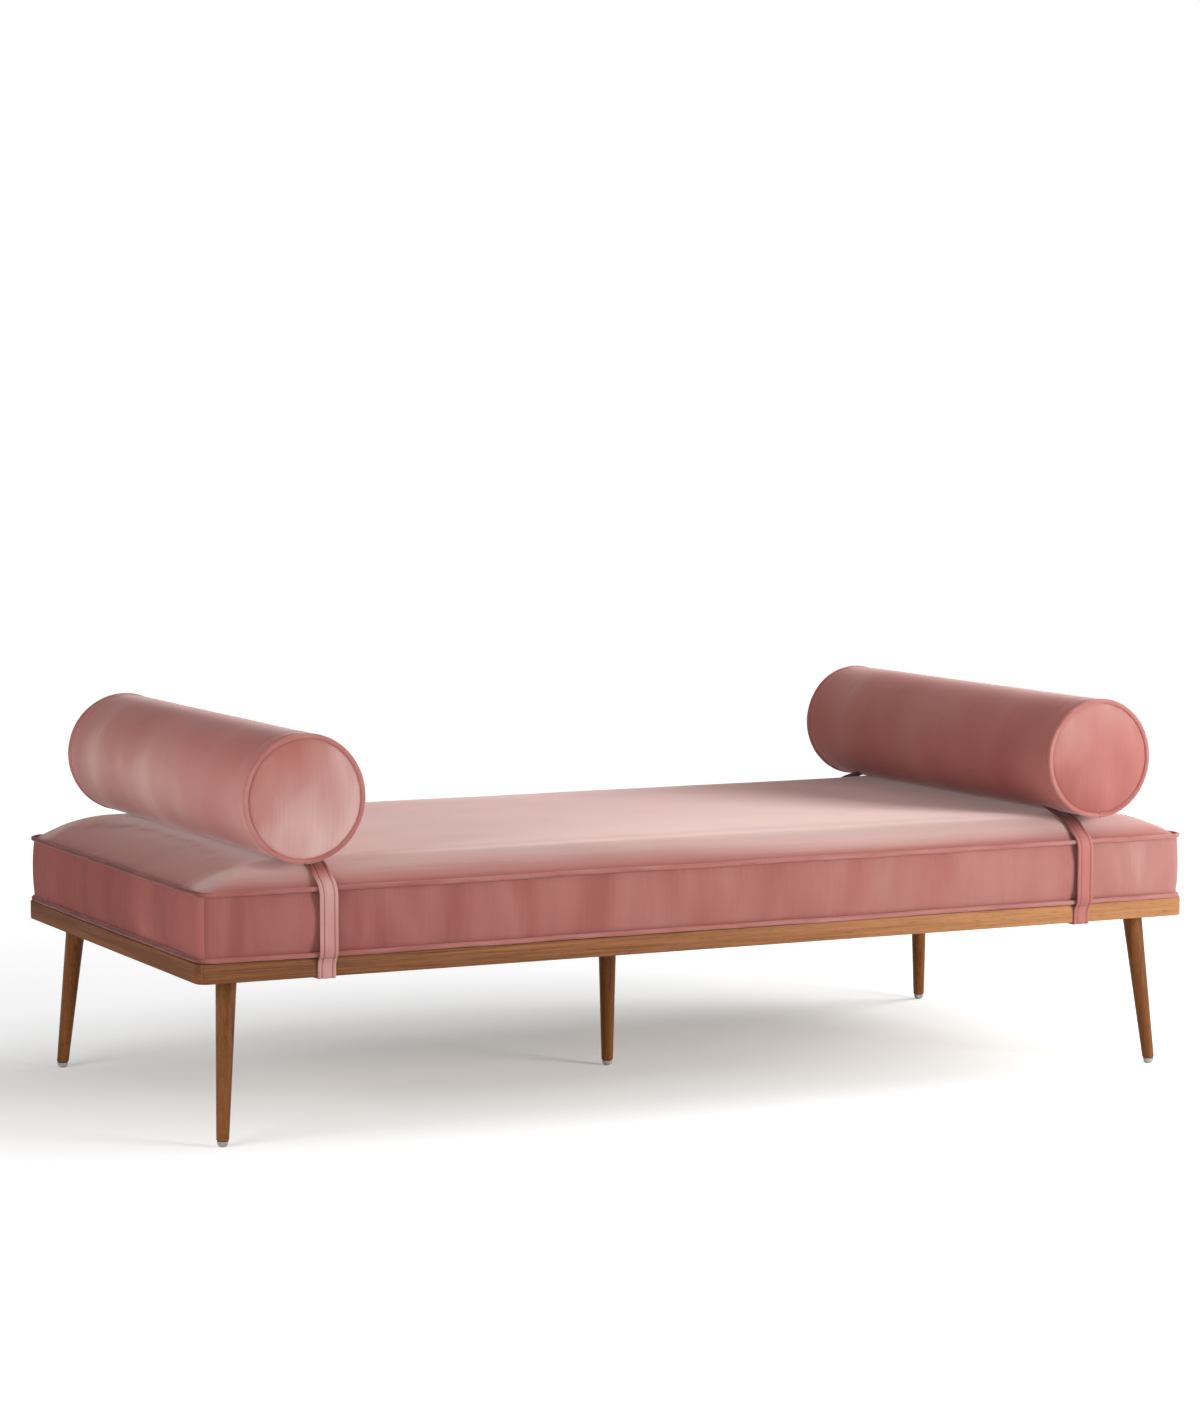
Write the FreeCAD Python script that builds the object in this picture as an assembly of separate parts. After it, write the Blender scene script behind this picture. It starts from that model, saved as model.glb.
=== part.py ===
import FreeCAD, Part
import math
import os

V = FreeCAD.Vector
X_AXIS = V(1, 0, 0)
Y_AXIS = V(0, 1, 0)
Z_AXIS = V(0, 0, 1)

# A backless divan: a crowned mattress on a low slatted wood frame with five tapered legs, and two
# bolsters that are held by straps round the mattress and the frame, and slide along it.
# Millimetres. X runs along the divan, Y to its rear, Z up. The origin is on the floor, at the middle.

# Frame of four rails
frame_length = 1900.0
frame_depth = 889.0
frame_corner_radius = 20.0
rail_height = 33.0
rail_thickness = 22.0
rail_edge_rounding = 2.0

# Legs, their feet and how they are fixed
leg_height = 264.0
leg_top_diameter = 35.0
leg_foot_diameter = 21.0
leg_foot_chamfer = 2.5
leg_top_inset_x = 71.0
leg_top_inset_y = 63.5
leg_splay_x = 19.5
leg_splay_y = 30.0
glide_height = 9.0
glide_top_diameter = 19.0
glide_waist_diameter = 17.125
glide_waist_height = 3.6
glide_base_diameter = 11.5
glide_edge_height = 1.5
glide_pin_diameter = 3.5
glide_pin_length = 12.0
leg_plate_width = 80.0
leg_plate_thickness = 3.0
leg_plate_screw_spacing = 60.0
hanger_bolt_diameter = 8.0
hanger_bolt_in_leg = 40.0
hanger_bolt_above_plate = 12.0
hanger_bolt_clearance = 0.5

# Blocks, ledgers, beam and slats inside the rails
corner_block_margin = 46.0
ledger_width = 20.0
ledger_lift = 1.0
beam_width = 90.0
beam_bracket_thickness = 3.0
beam_bracket_reach = 30.0
beam_bracket_width = 70.0
slat_count = 9
slat_width = 110.0
slat_thickness = 12.0
slat_end_gap = 0.5
slat_end_margin = 45.0

# Screws
wood_screw_shank = 3.5
wood_screw_head = 7.0
wood_screw_head_depth = 2.0
slat_screw_length = 28.0
slat_screw_spacing = 70.0
plate_screw_length = 15.0
frame_screw_length = 34.0
ledger_screw_count = 5
block_screw_length = 50.0
block_screw_spacing = 76.0
block_screw_bore = 9.0
block_screw_bite = 14.0
bracket_screw_spacing = 40.0
bracket_screw_from_rail = 18.0
bracket_screw_length = 16.0
beam_screw_margin = 6.0

# Mattress cover and core
mattress_base_rounding = 5.0
boxing_height = 108.0
boxing_bulge = 5.5
mattress_corner_radius = 25.0
crown_rise = 42.0
crown_run_front = 80.0
crown_run_end = 105.0
crown_corner_growth = 0.5
crown_sections = 6
boxing_sections = 6
base_sections = 3
cover_thickness = 2.0
core_clearance = 0.3
mattress_piping_radius = 3.5
mattress_piping_standoff = 1.3
piping_clearance = 0.15

# Bolsters
bolster_length = 890.0
bolster_radius = 105.5
bolster_inset = 186.0
bolster_disc_dome = 6.0
bolster_piping_radius = 3.5
bolster_piping_standoff = 1.8
bolster_clearance = 0.3

# Straps from each bolster round the mattress and the frame
strap_width = 32.0
strap_thickness = 3.2
strap_inset = 36.0
strap_clearance = 0.3
strap_lift_angle = 15.0
strap_lift_length = 75.0
strap_overlap = 120.0
strap_overlap_spare = 2.0
strap_step_run = 26.0
strap_front_past_seam = 1.5
strap_return_drop = 12.0
strap_bend_radius = 8.0
closure_pad_thickness = 1.0
closure_pad_width = 28.0
closure_pad_length = 110.0

# Zips: coil zips without pull tabs, sunk below the cover
mattress_zip_from_end = 330.0
bolster_zip_from_end = 75.0
bolster_zip_angle = 50.0
zip_slot_width = 12.0
zip_slot_margin = 5.0
zip_tape_width = 24.0
zip_tape_thickness = 1.2
zip_tape_depth = 5.2
zip_coil_width = 5.0
zip_coil_height = 1.2
zip_stop_length = 3.0
zip_stop_width = 7.0
zip_slider_length = 10.0
zip_slider_width = 9.0
zip_slider_depth = 0.8
zip_slider_rounding = 2.25
zip_clearance = 0.3

# How near two sizes must be to count as the same
tolerance = 0.01

# Levels and outlines worked out from the sizes above
half_length = frame_length / 2
half_depth = frame_depth / 2
rail_bottom = glide_height + leg_height
rail_top = rail_bottom + rail_height
inner_half_length = half_length - rail_thickness
inner_half_depth = half_depth - rail_thickness
slat_bottom = rail_top - slat_thickness
block_bottom = rail_bottom + leg_plate_thickness
leg_top_x = half_length - leg_top_inset_x
leg_top_y = half_depth - leg_top_inset_y
block_inner_x = leg_top_x - corner_block_margin
block_inner_y = leg_top_y - corner_block_margin
mattress_bottom = rail_top
bottom_seam = mattress_bottom + mattress_base_rounding
top_seam = bottom_seam + boxing_height
crown_top = top_seam + crown_rise
core_inset = cover_thickness + core_clearance
bolster_axis_x = half_length - bolster_inset
bolster_axis_z = crown_top + bolster_clearance + bolster_radius
bolster_half = bolster_length / 2
mattress_zip_length = frame_length - 2 * mattress_zip_from_end
bolster_zip_length = bolster_length - 2 * bolster_zip_from_end


# Small helpers

def box(x0, x1, y0, y1, z0, z1):
    return Part.makeBox(x1 - x0, y1 - y0, z1 - z0, V(x0, y0, z0))


def moved(shape, offset):
    copy = shape.copy()
    copy.translate(offset)
    return copy


def turned_to(shape, direction, position):
    """Turn a shape made along +Z so that +Z points along the direction, then move it."""
    turn = FreeCAD.Rotation(Z_AXIS, direction)
    return shape.transformed(FreeCAD.Placement(position, turn).toMatrix())


def rounded_rectangle(half_x, half_y, radius, z):
    """A closed wire of four lines and four quarter arcs at height z."""
    edges = []
    bevel = radius * (1 - math.sqrt(0.5))
    for sx, sy in ((1, 1), (-1, 1), (-1, -1), (1, -1)):
        on_side = V(sx * half_x, sy * (half_y - radius), z)
        on_end = V(sx * (half_x - radius), sy * half_y, z)
        middle = V(sx * (half_x - bevel), sy * (half_y - bevel), z)
        first, last = (on_side, on_end) if sx == sy else (on_end, on_side)
        edges.append(Part.Arc(first, middle, last).toShape())
        if sx == sy:
            edges.append(Part.makeLine(last, V(-last.x, last.y, z)))
        else:
            edges.append(Part.makeLine(last, V(last.x, -last.y, z)))
    return Part.Wire(edges)


def lofted(sections):
    """A smooth solid through rounded rectangles given as (half_x, half_y, radius, z)."""
    wires = [rounded_rectangle(*section) for section in sections]
    return Part.makeLoft(wires, True, False)


def rounded_bar(half_x, half_y, radius, z, tube_radius):
    """A round bar bent into a closed rounded rectangle."""
    path = rounded_rectangle(half_x, half_y, radius, z)
    circle = Part.Wire(Part.makeCircle(tube_radius, V(half_x, half_y - radius, z), Y_AXIS))
    return path.makePipeShell([circle], True, True)


def screw(length):
    """A countersunk screw with its head's top at the origin, pointing down."""
    shank = wood_screw_shank / 2
    head = wood_screw_head / 2
    cone = Part.makeCone(shank, head, wood_screw_head_depth, V(0, 0, -wood_screw_head_depth))
    return Part.makeCylinder(shank, length, V(0, 0, -length)).fuse(cone)


def rounded_path(points, radii):
    """Edges along 2-D points, with each inner corner rounded to its radius."""
    edges = []
    start = points[0]
    for before, corner, after, radius in zip(points, points[1:], points[2:], radii):
        back = (before - corner).normalize()
        ahead = (after - corner).normalize()
        half_angle = back.getAngle(ahead) / 2
        reach = radius / math.tan(half_angle)
        bisector = (back + ahead).normalize()
        arc_start = corner + back * reach
        arc_end = corner + ahead * reach
        arc_middle = corner + bisector * (radius / math.sin(half_angle) - radius)
        edges.append(Part.makeLine(start, arc_start))
        edges.append(Part.Arc(arc_start, arc_middle, arc_end).toShape())
        start = arc_end
    edges.append(Part.makeLine(start, points[-1]))
    return edges


def parallel_points(points, distance):
    """The corners of a path that runs the given distance to the left."""
    normals = []
    for a, b in zip(points, points[1:]):
        along = (b - a).normalize()
        normals.append(V(0, -along.z, along.y))
    shifted = [points[0] + normals[0] * distance]
    for corner, n0, n1 in zip(points[1:-1], normals, normals[1:]):
        middle = (n0 + n1).normalize()
        shifted.append(corner + middle * (distance / middle.dot(n0)))
    shifted.append(points[-1] + normals[-1] * distance)
    return shifted


def band(points, radii, thickness, width):
    """A flat band in the YZ plane, as thick as given to the left of its path, and width wide in X."""
    far = parallel_points(points, thickness)
    far_radii = []
    for before, corner, after, radius in zip(points, points[1:], points[2:], radii):
        turn = (corner - before).cross(after - corner).x
        far_radii.append(radius + thickness if turn < 0 else radius - thickness)
    edges = rounded_path(points, radii) + rounded_path(far, far_radii)
    edges.append(Part.makeLine(points[0], far[0]))
    edges.append(Part.makeLine(points[-1], far[-1]))
    face = Part.Face(Part.Wire(Part.sortEdges(edges)[0]))
    return moved(face.extrude(V(width, 0, 0)), V(-width / 2, 0, 0))


# Wood frame

def rail_ring():
    outer = Part.Face(rounded_rectangle(half_length, half_depth, frame_corner_radius, rail_bottom))
    ring = outer.extrude(V(0, 0, rail_height))
    outside = [e for e in ring.Edges if e.BoundBox.ZLength < tolerance]
    ring = ring.makeFillet(rail_edge_rounding, outside)
    return ring.cut(box(-inner_half_length, inner_half_length, -inner_half_depth, inner_half_depth,
                        rail_bottom, rail_top))


def mitre_wedge(x_side, y_side):
    """The space of one rail: from the corner mitres inwards. One of the two sides is 0."""
    past = rail_thickness
    out_x = half_length + past
    out_y = half_depth + past
    in_x = half_length - 2 * rail_thickness
    in_y = half_depth - 2 * rail_thickness
    if x_side == 0:
        plan = [(-out_x, y_side * out_y), (out_x, y_side * out_y),
                (in_x, y_side * in_y), (-in_x, y_side * in_y)]
    else:
        plan = [(x_side * out_x, -out_y), (x_side * out_x, out_y),
                (x_side * in_x, in_y), (x_side * in_x, -in_y)]
    corners = [V(x, y, rail_bottom) for x, y in plan]
    return Part.Face(Part.makePolygon(corners + corners[:1])).extrude(V(0, 0, rail_height))


def corner_block(x_side, y_side):
    xs = sorted((x_side * block_inner_x, x_side * inner_half_length))
    ys = sorted((y_side * block_inner_y, y_side * inner_half_depth))
    return box(xs[0], xs[1], ys[0], ys[1], block_bottom, slat_bottom)


def slat_ledger(y_side):
    ys = sorted((y_side * (inner_half_depth - ledger_width), y_side * inner_half_depth))
    return box(-block_inner_x, block_inner_x, ys[0], ys[1], rail_bottom + ledger_lift, slat_bottom)


def beam_end():
    return inner_half_length - beam_bracket_thickness


def centre_beam():
    return box(-beam_end(), beam_end(), -beam_width / 2, beam_width / 2, block_bottom, slat_bottom)


def beam_bracket(x_side):
    """A steel angle: one leg on the end rail, the other under the beam's end."""
    half = beam_bracket_width / 2
    upright = box(beam_end(), inner_half_length, -half, half, rail_bottom, slat_bottom)
    foot = box(inner_half_length - beam_bracket_reach, inner_half_length, -half, half,
               rail_bottom, block_bottom)
    bracket = upright.fuse(foot).removeSplitter()
    return bracket if x_side > 0 else bracket.mirror(V(0, 0, 0), X_AXIS)


def slat_centres():
    first = inner_half_length - slat_end_margin - slat_width / 2
    pitch = 2 * first / (slat_count - 1)
    return [-first + pitch * index for index in range(slat_count)]


def slat(x):
    end = inner_half_depth - slat_end_gap
    return box(x - slat_width / 2, x + slat_width / 2, -end, end, slat_bottom, rail_top)


# Legs

def leg_places():
    """Name, middle of the leg's top, and how far its foot stands out in X and Y."""
    places = []
    for y_side, y_name in ((-1, "front"), (1, "rear")):
        for x_side, x_name in ((-1, "left"), (1, "right")):
            top = V(x_side * leg_top_x, y_side * leg_top_y, rail_bottom)
            splay = V(x_side * leg_splay_x, y_side * leg_splay_y, 0)
            places.append((y_name + "_" + x_name, top, splay))
    places.append(("centre", V(0, 0, rail_bottom), V(0, 0, 0)))
    return places


def leg_axis(splay):
    """The leg's own direction, upwards."""
    return (V(0, 0, leg_height) - splay).normalize()


def leg(top, splay):
    up = leg_axis(splay)
    length = leg_height / up.z
    spare = leg_top_diameter / 2
    growth = (leg_top_diameter - leg_foot_diameter) / 2 / length
    foot_radius = leg_foot_diameter / 2 - growth * spare
    top_radius = leg_top_diameter / 2 + growth * spare
    cone = Part.makeCone(foot_radius, top_radius, length + 2 * spare)
    foot = top + splay - V(0, 0, leg_height)
    cone = turned_to(cone, up, foot - up * spare)
    reach = leg_top_diameter + abs(splay.x) + abs(splay.y)
    body = cone.common(box(top.x - reach, top.x + reach, top.y - reach, top.y + reach,
                           glide_height, rail_bottom))
    foot_edges = [e for e in body.Edges if e.BoundBox.ZMax < glide_height + tolerance]
    return body.makeChamfer(leg_foot_chamfer, foot_edges)


def hanger_bolt(top, splay, clearance=0.0):
    """The bolt that joins a leg to its plate, along the leg's own direction."""
    up = leg_axis(splay)
    length = hanger_bolt_in_leg + (leg_plate_thickness + hanger_bolt_above_plate + clearance) / up.z
    radius = hanger_bolt_diameter / 2 + clearance
    return turned_to(Part.makeCylinder(radius, length), up, top - up * hanger_bolt_in_leg)


def leg_plate(top):
    half = leg_plate_width / 2
    return box(top.x - half, top.x + half, top.y - half, top.y + half, rail_bottom, block_bottom)


def glide(top, splay):
    """A nylon glide: a bowl under the foot and a pin up into it."""
    foot = V(top.x + splay.x, top.y + splay.y, 0)
    top_radius = glide_top_diameter / 2
    base_radius = glide_base_diameter / 2
    waist = V(glide_waist_diameter / 2, 0, glide_waist_height)
    edge = V(top_radius, 0, glide_height - glide_edge_height)
    profile = [
        Part.makeLine(V(0, 0, 0), V(base_radius, 0, 0)),
        Part.Arc(V(base_radius, 0, 0), waist, edge).toShape(),
        Part.makeLine(edge, V(top_radius, 0, glide_height)),
        Part.makeLine(V(top_radius, 0, glide_height), V(0, 0, glide_height)),
        Part.makeLine(V(0, 0, glide_height), V(0, 0, 0)),
    ]
    bowl = Part.Face(Part.Wire(profile)).revolve(V(0, 0, 0), Z_AXIS, 360)
    return moved(bowl.fuse(glide_pin()), foot)


def glide_pin():
    return Part.makeCylinder(glide_pin_diameter / 2, glide_pin_length, V(0, 0, glide_height))


# Screws, each group as a list of solids

def leg_plate_screws(top):
    half = leg_plate_screw_spacing / 2
    points = [V(top.x + dx, top.y + dy, rail_bottom) for dx in (-half, half) for dy in (-half, half)]
    return [turned_to(screw(plate_screw_length), -Z_AXIS, point) for point in points]


def slat_screws(x):
    along = (x - slat_screw_spacing / 2, x + slat_screw_spacing / 2)
    ledger_y = inner_half_depth - ledger_width / 2
    return [moved(screw(slat_screw_length if y else beam_screw_length()), V(sx, y, rail_top))
            for sx in along for y in (-ledger_y, 0, ledger_y)]


def beam_screw_length():
    """Short enough to stay inside the beam, above the plate of the centre leg."""
    return rail_top - block_bottom - beam_screw_margin


def ledger_screws(y_side):
    span = 2 * block_inner_x / ledger_screw_count
    z = (rail_bottom + ledger_lift + slat_bottom) / 2
    y = y_side * (inner_half_depth - ledger_width)
    places = [V(-block_inner_x + span * (index + 0.5), y, z) for index in range(ledger_screw_count)]
    return [turned_to(screw(frame_screw_length), V(0, -y_side, 0), place) for place in places]


def block_screw_places(x_side, y_side):
    z = (block_bottom + slat_bottom) / 2
    head_y = inner_half_depth + block_screw_bite - block_screw_length
    half = block_screw_spacing / 2
    return [V(x_side * (leg_top_x + dx), y_side * head_y, z) for dx in (-half, half)]


def block_screws(x_side, y_side):
    return [turned_to(screw(block_screw_length), V(0, -y_side, 0), place)
            for place in block_screw_places(x_side, y_side)]


def block_bores(x_side, y_side):
    """Wide bores that let the block screws' heads sink deep into the block."""
    depth = leg_top_y + corner_block_margin
    return [turned_to(Part.makeCylinder(block_screw_bore / 2, depth), V(0, -y_side, 0), place)
            for place in block_screw_places(x_side, y_side)]


def bracket_screws(x_side):
    half = bracket_screw_spacing / 2
    foot_x = x_side * (inner_half_length - bracket_screw_from_rail)
    upright_z = (block_bottom + slat_bottom) / 2
    screws = []
    for y in (-half, half):
        up = turned_to(screw(bracket_screw_length), -Z_AXIS, V(foot_x, y, rail_bottom))
        screws.append(up)
    head = V(x_side * beam_end(), 0, upright_z)
    screws.append(turned_to(screw(bracket_screw_length), V(-x_side, 0, 0), head))
    return screws


# Mattress. "shrink" gives the same form drawn in by that much all round.

def shoulder_radius(run):
    return (run * run + crown_rise * crown_rise) / (2 * crown_rise)


def shoulder_inset(run, height, shrink):
    """How far the crown has drawn in from the seam at a height above it."""
    radius = shoulder_radius(run)
    level = height + radius - crown_rise
    return run - math.sqrt(max((radius - shrink) ** 2 - level ** 2, 0))


def crown_solid(shrink):
    """The crowned top: shoulders that are arcs, up to a level middle."""
    radius = shoulder_radius(crown_run_front)
    start = math.acos((radius - crown_rise) / radius)
    sections = []
    for step in range(crown_sections + 1):
        angle = start * (1 - step / crown_sections)
        share = (radius * math.cos(angle) - radius + crown_rise) / crown_rise
        height = share * (crown_rise - shrink)
        inset_y = shoulder_inset(crown_run_front, height, shrink)
        inset_x = shoulder_inset(crown_run_end, height, shrink)
        corner = mattress_corner_radius - shrink + crown_corner_growth * inset_y
        sections.append((half_length - inset_x, half_depth - inset_y, corner, top_seam + height))
    return lofted(sections)


def boxing_solid(shrink):
    """The sides between the two seams: full at half height, drawn in at the seams."""
    sections = []
    for step in range(boxing_sections + 1):
        share = step / boxing_sections
        out = boxing_bulge * 4 * share * (1 - share) - shrink
        sections.append((half_length + out, half_depth + out, mattress_corner_radius + out,
                         bottom_seam + share * boxing_height))
    return lofted(sections)


def base_solid(shrink):
    """The flat underside and its rounded edge, up to the lower seam."""
    rounding = mattress_base_rounding
    sections = []
    for step in range(base_sections + 1):
        height = shrink + (rounding - shrink) * (step / base_sections) ** 2
        width = math.sqrt(max((rounding - shrink) ** 2 - (rounding - height) ** 2, 0))
        inset = rounding - width
        sections.append((half_length - inset, half_depth - inset, mattress_corner_radius - inset,
                         mattress_bottom + height))
    return lofted(sections)


def mattress_piping(seam_z, extra=0.0):
    out = mattress_piping_standoff
    return rounded_bar(half_length + out, half_depth + out, mattress_corner_radius + out, seam_z,
                       mattress_piping_radius + extra)


# Zips, made along X with the cover's outer face at z = 0, then placed

def zip_tape(length):
    """Tape, coil and the two end stops, in one piece."""
    tape_top = -zip_tape_depth + zip_tape_thickness
    half = length / 2
    coil = zip_coil_width / 2
    tape = box(-half, half, -zip_tape_width / 2, zip_tape_width / 2, -zip_tape_depth, tape_top)
    tape = tape.fuse(box(-half, half, -coil, coil, tape_top, tape_top + zip_coil_height))
    for side in (-1, 1):
        xs = sorted((side * half, side * (half - zip_stop_length)))
        stop = box(xs[0], xs[1], -zip_stop_width / 2, zip_stop_width / 2,
                   tape_top, -zip_slider_depth)
        tape = tape.fuse(stop)
    return tape.removeSplitter()


def zip_slider_x(length):
    """Where the slider rests: next to the stop at the closed end."""
    return length / 2 - zip_stop_length - zip_clearance - zip_slider_length / 2


def zip_slider(length):
    tape_top = -zip_tape_depth + zip_tape_thickness
    x = zip_slider_x(length)
    half = zip_slider_length / 2
    bottom = tape_top + zip_clearance
    body = box(x - half, x + half, -zip_slider_width / 2, zip_slider_width / 2,
               bottom, -zip_slider_depth)
    upright = [e for e in body.Edges if e.BoundBox.ZLength > tolerance]
    body = body.makeFillet(zip_slider_rounding, upright)
    groove_half = zip_coil_width / 2 + zip_clearance
    groove_top = tape_top + zip_coil_height + zip_clearance
    return body.cut(box(x - zip_slider_length, x + zip_slider_length, -groove_half, groove_half,
                        bottom - zip_clearance, groove_top))


def zip_slot(length):
    """The slot in the cover."""
    half = length / 2 + zip_slot_margin
    return box(-half, half, -zip_slot_width / 2, zip_slot_width / 2,
               -2 * zip_tape_depth, zip_tape_depth)


def zip_trench(length):
    """The room for the tape in the core."""
    half = length / 2 + zip_slot_margin
    width = zip_tape_width / 2 + zip_clearance
    return box(-half, half, -width, width, -zip_tape_depth - zip_clearance, zip_tape_depth)


def on_rear_boxing(shape):
    """Place a zip piece at half height in the rear of the mattress, facing the rear."""
    turn = FreeCAD.Rotation(X_AXIS, -90)
    place = V(0, half_depth + boxing_bulge, bottom_seam + boxing_height / 2)
    return shape.transformed(FreeCAD.Placement(place, turn).toMatrix())


def on_bolster(shape):
    """Place a zip piece in the lower right of a bolster whose axis is the Y axis."""
    along_y = FreeCAD.Rotation(Z_AXIS, 90)
    round_axis = FreeCAD.Rotation(Y_AXIS, 90 + bolster_zip_angle)
    start = shape.transformed(FreeCAD.Placement(V(0, 0, bolster_radius), FreeCAD.Rotation())
                              .multiply(FreeCAD.Placement(V(0, 0, 0), along_y)).toMatrix())
    return start.transformed(FreeCAD.Placement(V(0, 0, 0), round_axis).toMatrix())


# Bolsters, made round the Y axis and then moved into place

def dome_edges(rim_radius, rim_y, y_side):
    """The arc of a domed end from the rim to the axis, seen in the XY plane."""
    ball = (rim_radius ** 2 + bolster_disc_dome ** 2) / (2 * bolster_disc_dome)
    middle_x = rim_radius / 2
    middle_rise = math.sqrt(ball ** 2 - middle_x ** 2) - ball + bolster_disc_dome
    middle = V(middle_x, y_side * (rim_y + middle_rise), 0)
    peak = V(0, y_side * (rim_y + bolster_disc_dome), 0)
    return Part.Arc(V(rim_radius, y_side * rim_y, 0), middle, peak).toShape()


def bolster_tube():
    inner = bolster_radius - cover_thickness
    outside = Part.makeCylinder(bolster_radius, bolster_length, V(0, -bolster_half, 0), Y_AXIS)
    return outside.cut(Part.makeCylinder(inner, bolster_length, V(0, -bolster_half, 0), Y_AXIS))


def bolster_disc(y_side):
    rim = bolster_radius - cover_thickness
    inside_y = bolster_half - cover_thickness
    edges = [
        dome_edges(rim, bolster_half, y_side),
        dome_edges(rim, inside_y, y_side),
        Part.makeLine(V(rim, y_side * inside_y, 0), V(rim, y_side * bolster_half, 0)),
        Part.makeLine(V(0, y_side * (inside_y + bolster_disc_dome), 0),
                      V(0, y_side * (bolster_half + bolster_disc_dome), 0)),
    ]
    face = Part.Face(Part.Wire(Part.sortEdges(edges)[0]))
    return face.revolve(V(0, 0, 0), Y_AXIS, 360)


def bolster_core():
    rim = bolster_radius - core_inset
    end = bolster_half - core_inset
    edges = [
        dome_edges(rim, end, 1),
        dome_edges(rim, end, -1),
        Part.makeLine(V(rim, -end, 0), V(rim, end, 0)),
        Part.makeLine(V(0, -end - bolster_disc_dome, 0), V(0, end + bolster_disc_dome, 0)),
    ]
    face = Part.Face(Part.Wire(Part.sortEdges(edges)[0]))
    return face.revolve(V(0, 0, 0), Y_AXIS, 360)


def bolster_piping(y_side, extra=0.0):
    ring_radius = bolster_radius - bolster_piping_standoff
    return Part.makeTorus(ring_radius, bolster_piping_radius + extra,
                          V(0, y_side * bolster_half, 0), Y_AXIS)


# Straps. Their paths are drawn as distance outwards from the middle of the divan, and height.

def strap_under_level():
    return rail_bottom - strap_clearance


def strap_path(lies_below):
    """Corners and radii along the strap's inner face, from the bolster to its end underneath."""
    gap = strap_clearance
    radius = shoulder_radius(crown_run_front)
    arc_out = half_depth - crown_run_front
    arc_up = crown_top - radius
    pipe_out = half_depth + mattress_piping_standoff
    across = pipe_out - arc_out
    rise = top_seam - arc_up
    # The strap leaves the shoulder where its tangent just clears the piping.
    leave = math.atan2(across, rise) - math.acos((radius - mattress_piping_radius)
                                                 / math.hypot(across, rise))
    lift = math.radians(strap_lift_angle)
    over = radius + gap
    first = V(0, arc_out + over * math.sin(lift), arc_up + over * math.cos(lift))
    last = V(0, arc_out + over * math.sin(leave), arc_up + over * math.cos(leave))
    reach = over * math.tan((leave - lift) / 2)
    start = first + V(0, -math.cos(lift), math.sin(lift)) * strap_lift_length
    crest = first + V(0, math.cos(lift), -math.sin(lift)) * reach
    front = half_depth + max(boxing_bulge, mattress_piping_standoff + mattress_piping_radius) + gap
    edge = last + V(0, math.cos(leave), -math.sin(leave)) * ((front - last.y) / math.cos(leave))
    hug = mattress_piping_radius + gap
    under = strap_under_level()
    rail_face = half_depth + gap
    points = [
        start,
        crest,
        edge,
        V(0, front, bottom_seam - strap_front_past_seam),
        V(0, rail_face, bottom_seam - strap_return_drop),
        V(0, rail_face, under),
    ]
    radii = [over, hug, hug, strap_bend_radius, rail_edge_rounding + gap]
    half_overlap = strap_overlap / 2
    if lies_below:
        drop = strap_thickness + 2 * closure_pad_thickness
        step_end = half_overlap + strap_overlap_spare
        points.append(V(0, step_end + strap_step_run, under))
        points.append(V(0, step_end, under - drop))
        radii += [strap_bend_radius, strap_bend_radius]
        points.append(V(0, -half_overlap, under - drop))
    else:
        points.append(V(0, -half_overlap, under))
    return points, radii


def strap(x_side, y_side):
    """The rear strap runs below the front one where they overlap under the frame."""
    points, radii = strap_path(lies_below=y_side > 0)
    strip = band(points, radii, strap_thickness, strap_width)
    if y_side < 0:
        strip = strip.mirror(V(0, 0, 0), Y_AXIS)
    x = x_side * (bolster_axis_x - strap_inset)
    strip = moved(strip, V(x, 0, 0))
    roll = Part.makeCylinder(bolster_radius, bolster_length,
                             V(x_side * bolster_axis_x, -bolster_half, bolster_axis_z), Y_AXIS)
    return strip.cut(roll)


def closure_pads(x_side):
    """Hook pad and loop pad, face to face between the two straps."""
    x = x_side * (bolster_axis_x - strap_inset)
    half_x = closure_pad_width / 2
    half_y = closure_pad_length / 2
    top = strap_under_level() - strap_thickness
    levels = (top, top - closure_pad_thickness, top - 2 * closure_pad_thickness)
    return [box(x - half_x, x + half_x, -half_y, half_y, low, high)
            for high, low in zip(levels, levels[1:])]


# Assembly of the pieces

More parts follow.
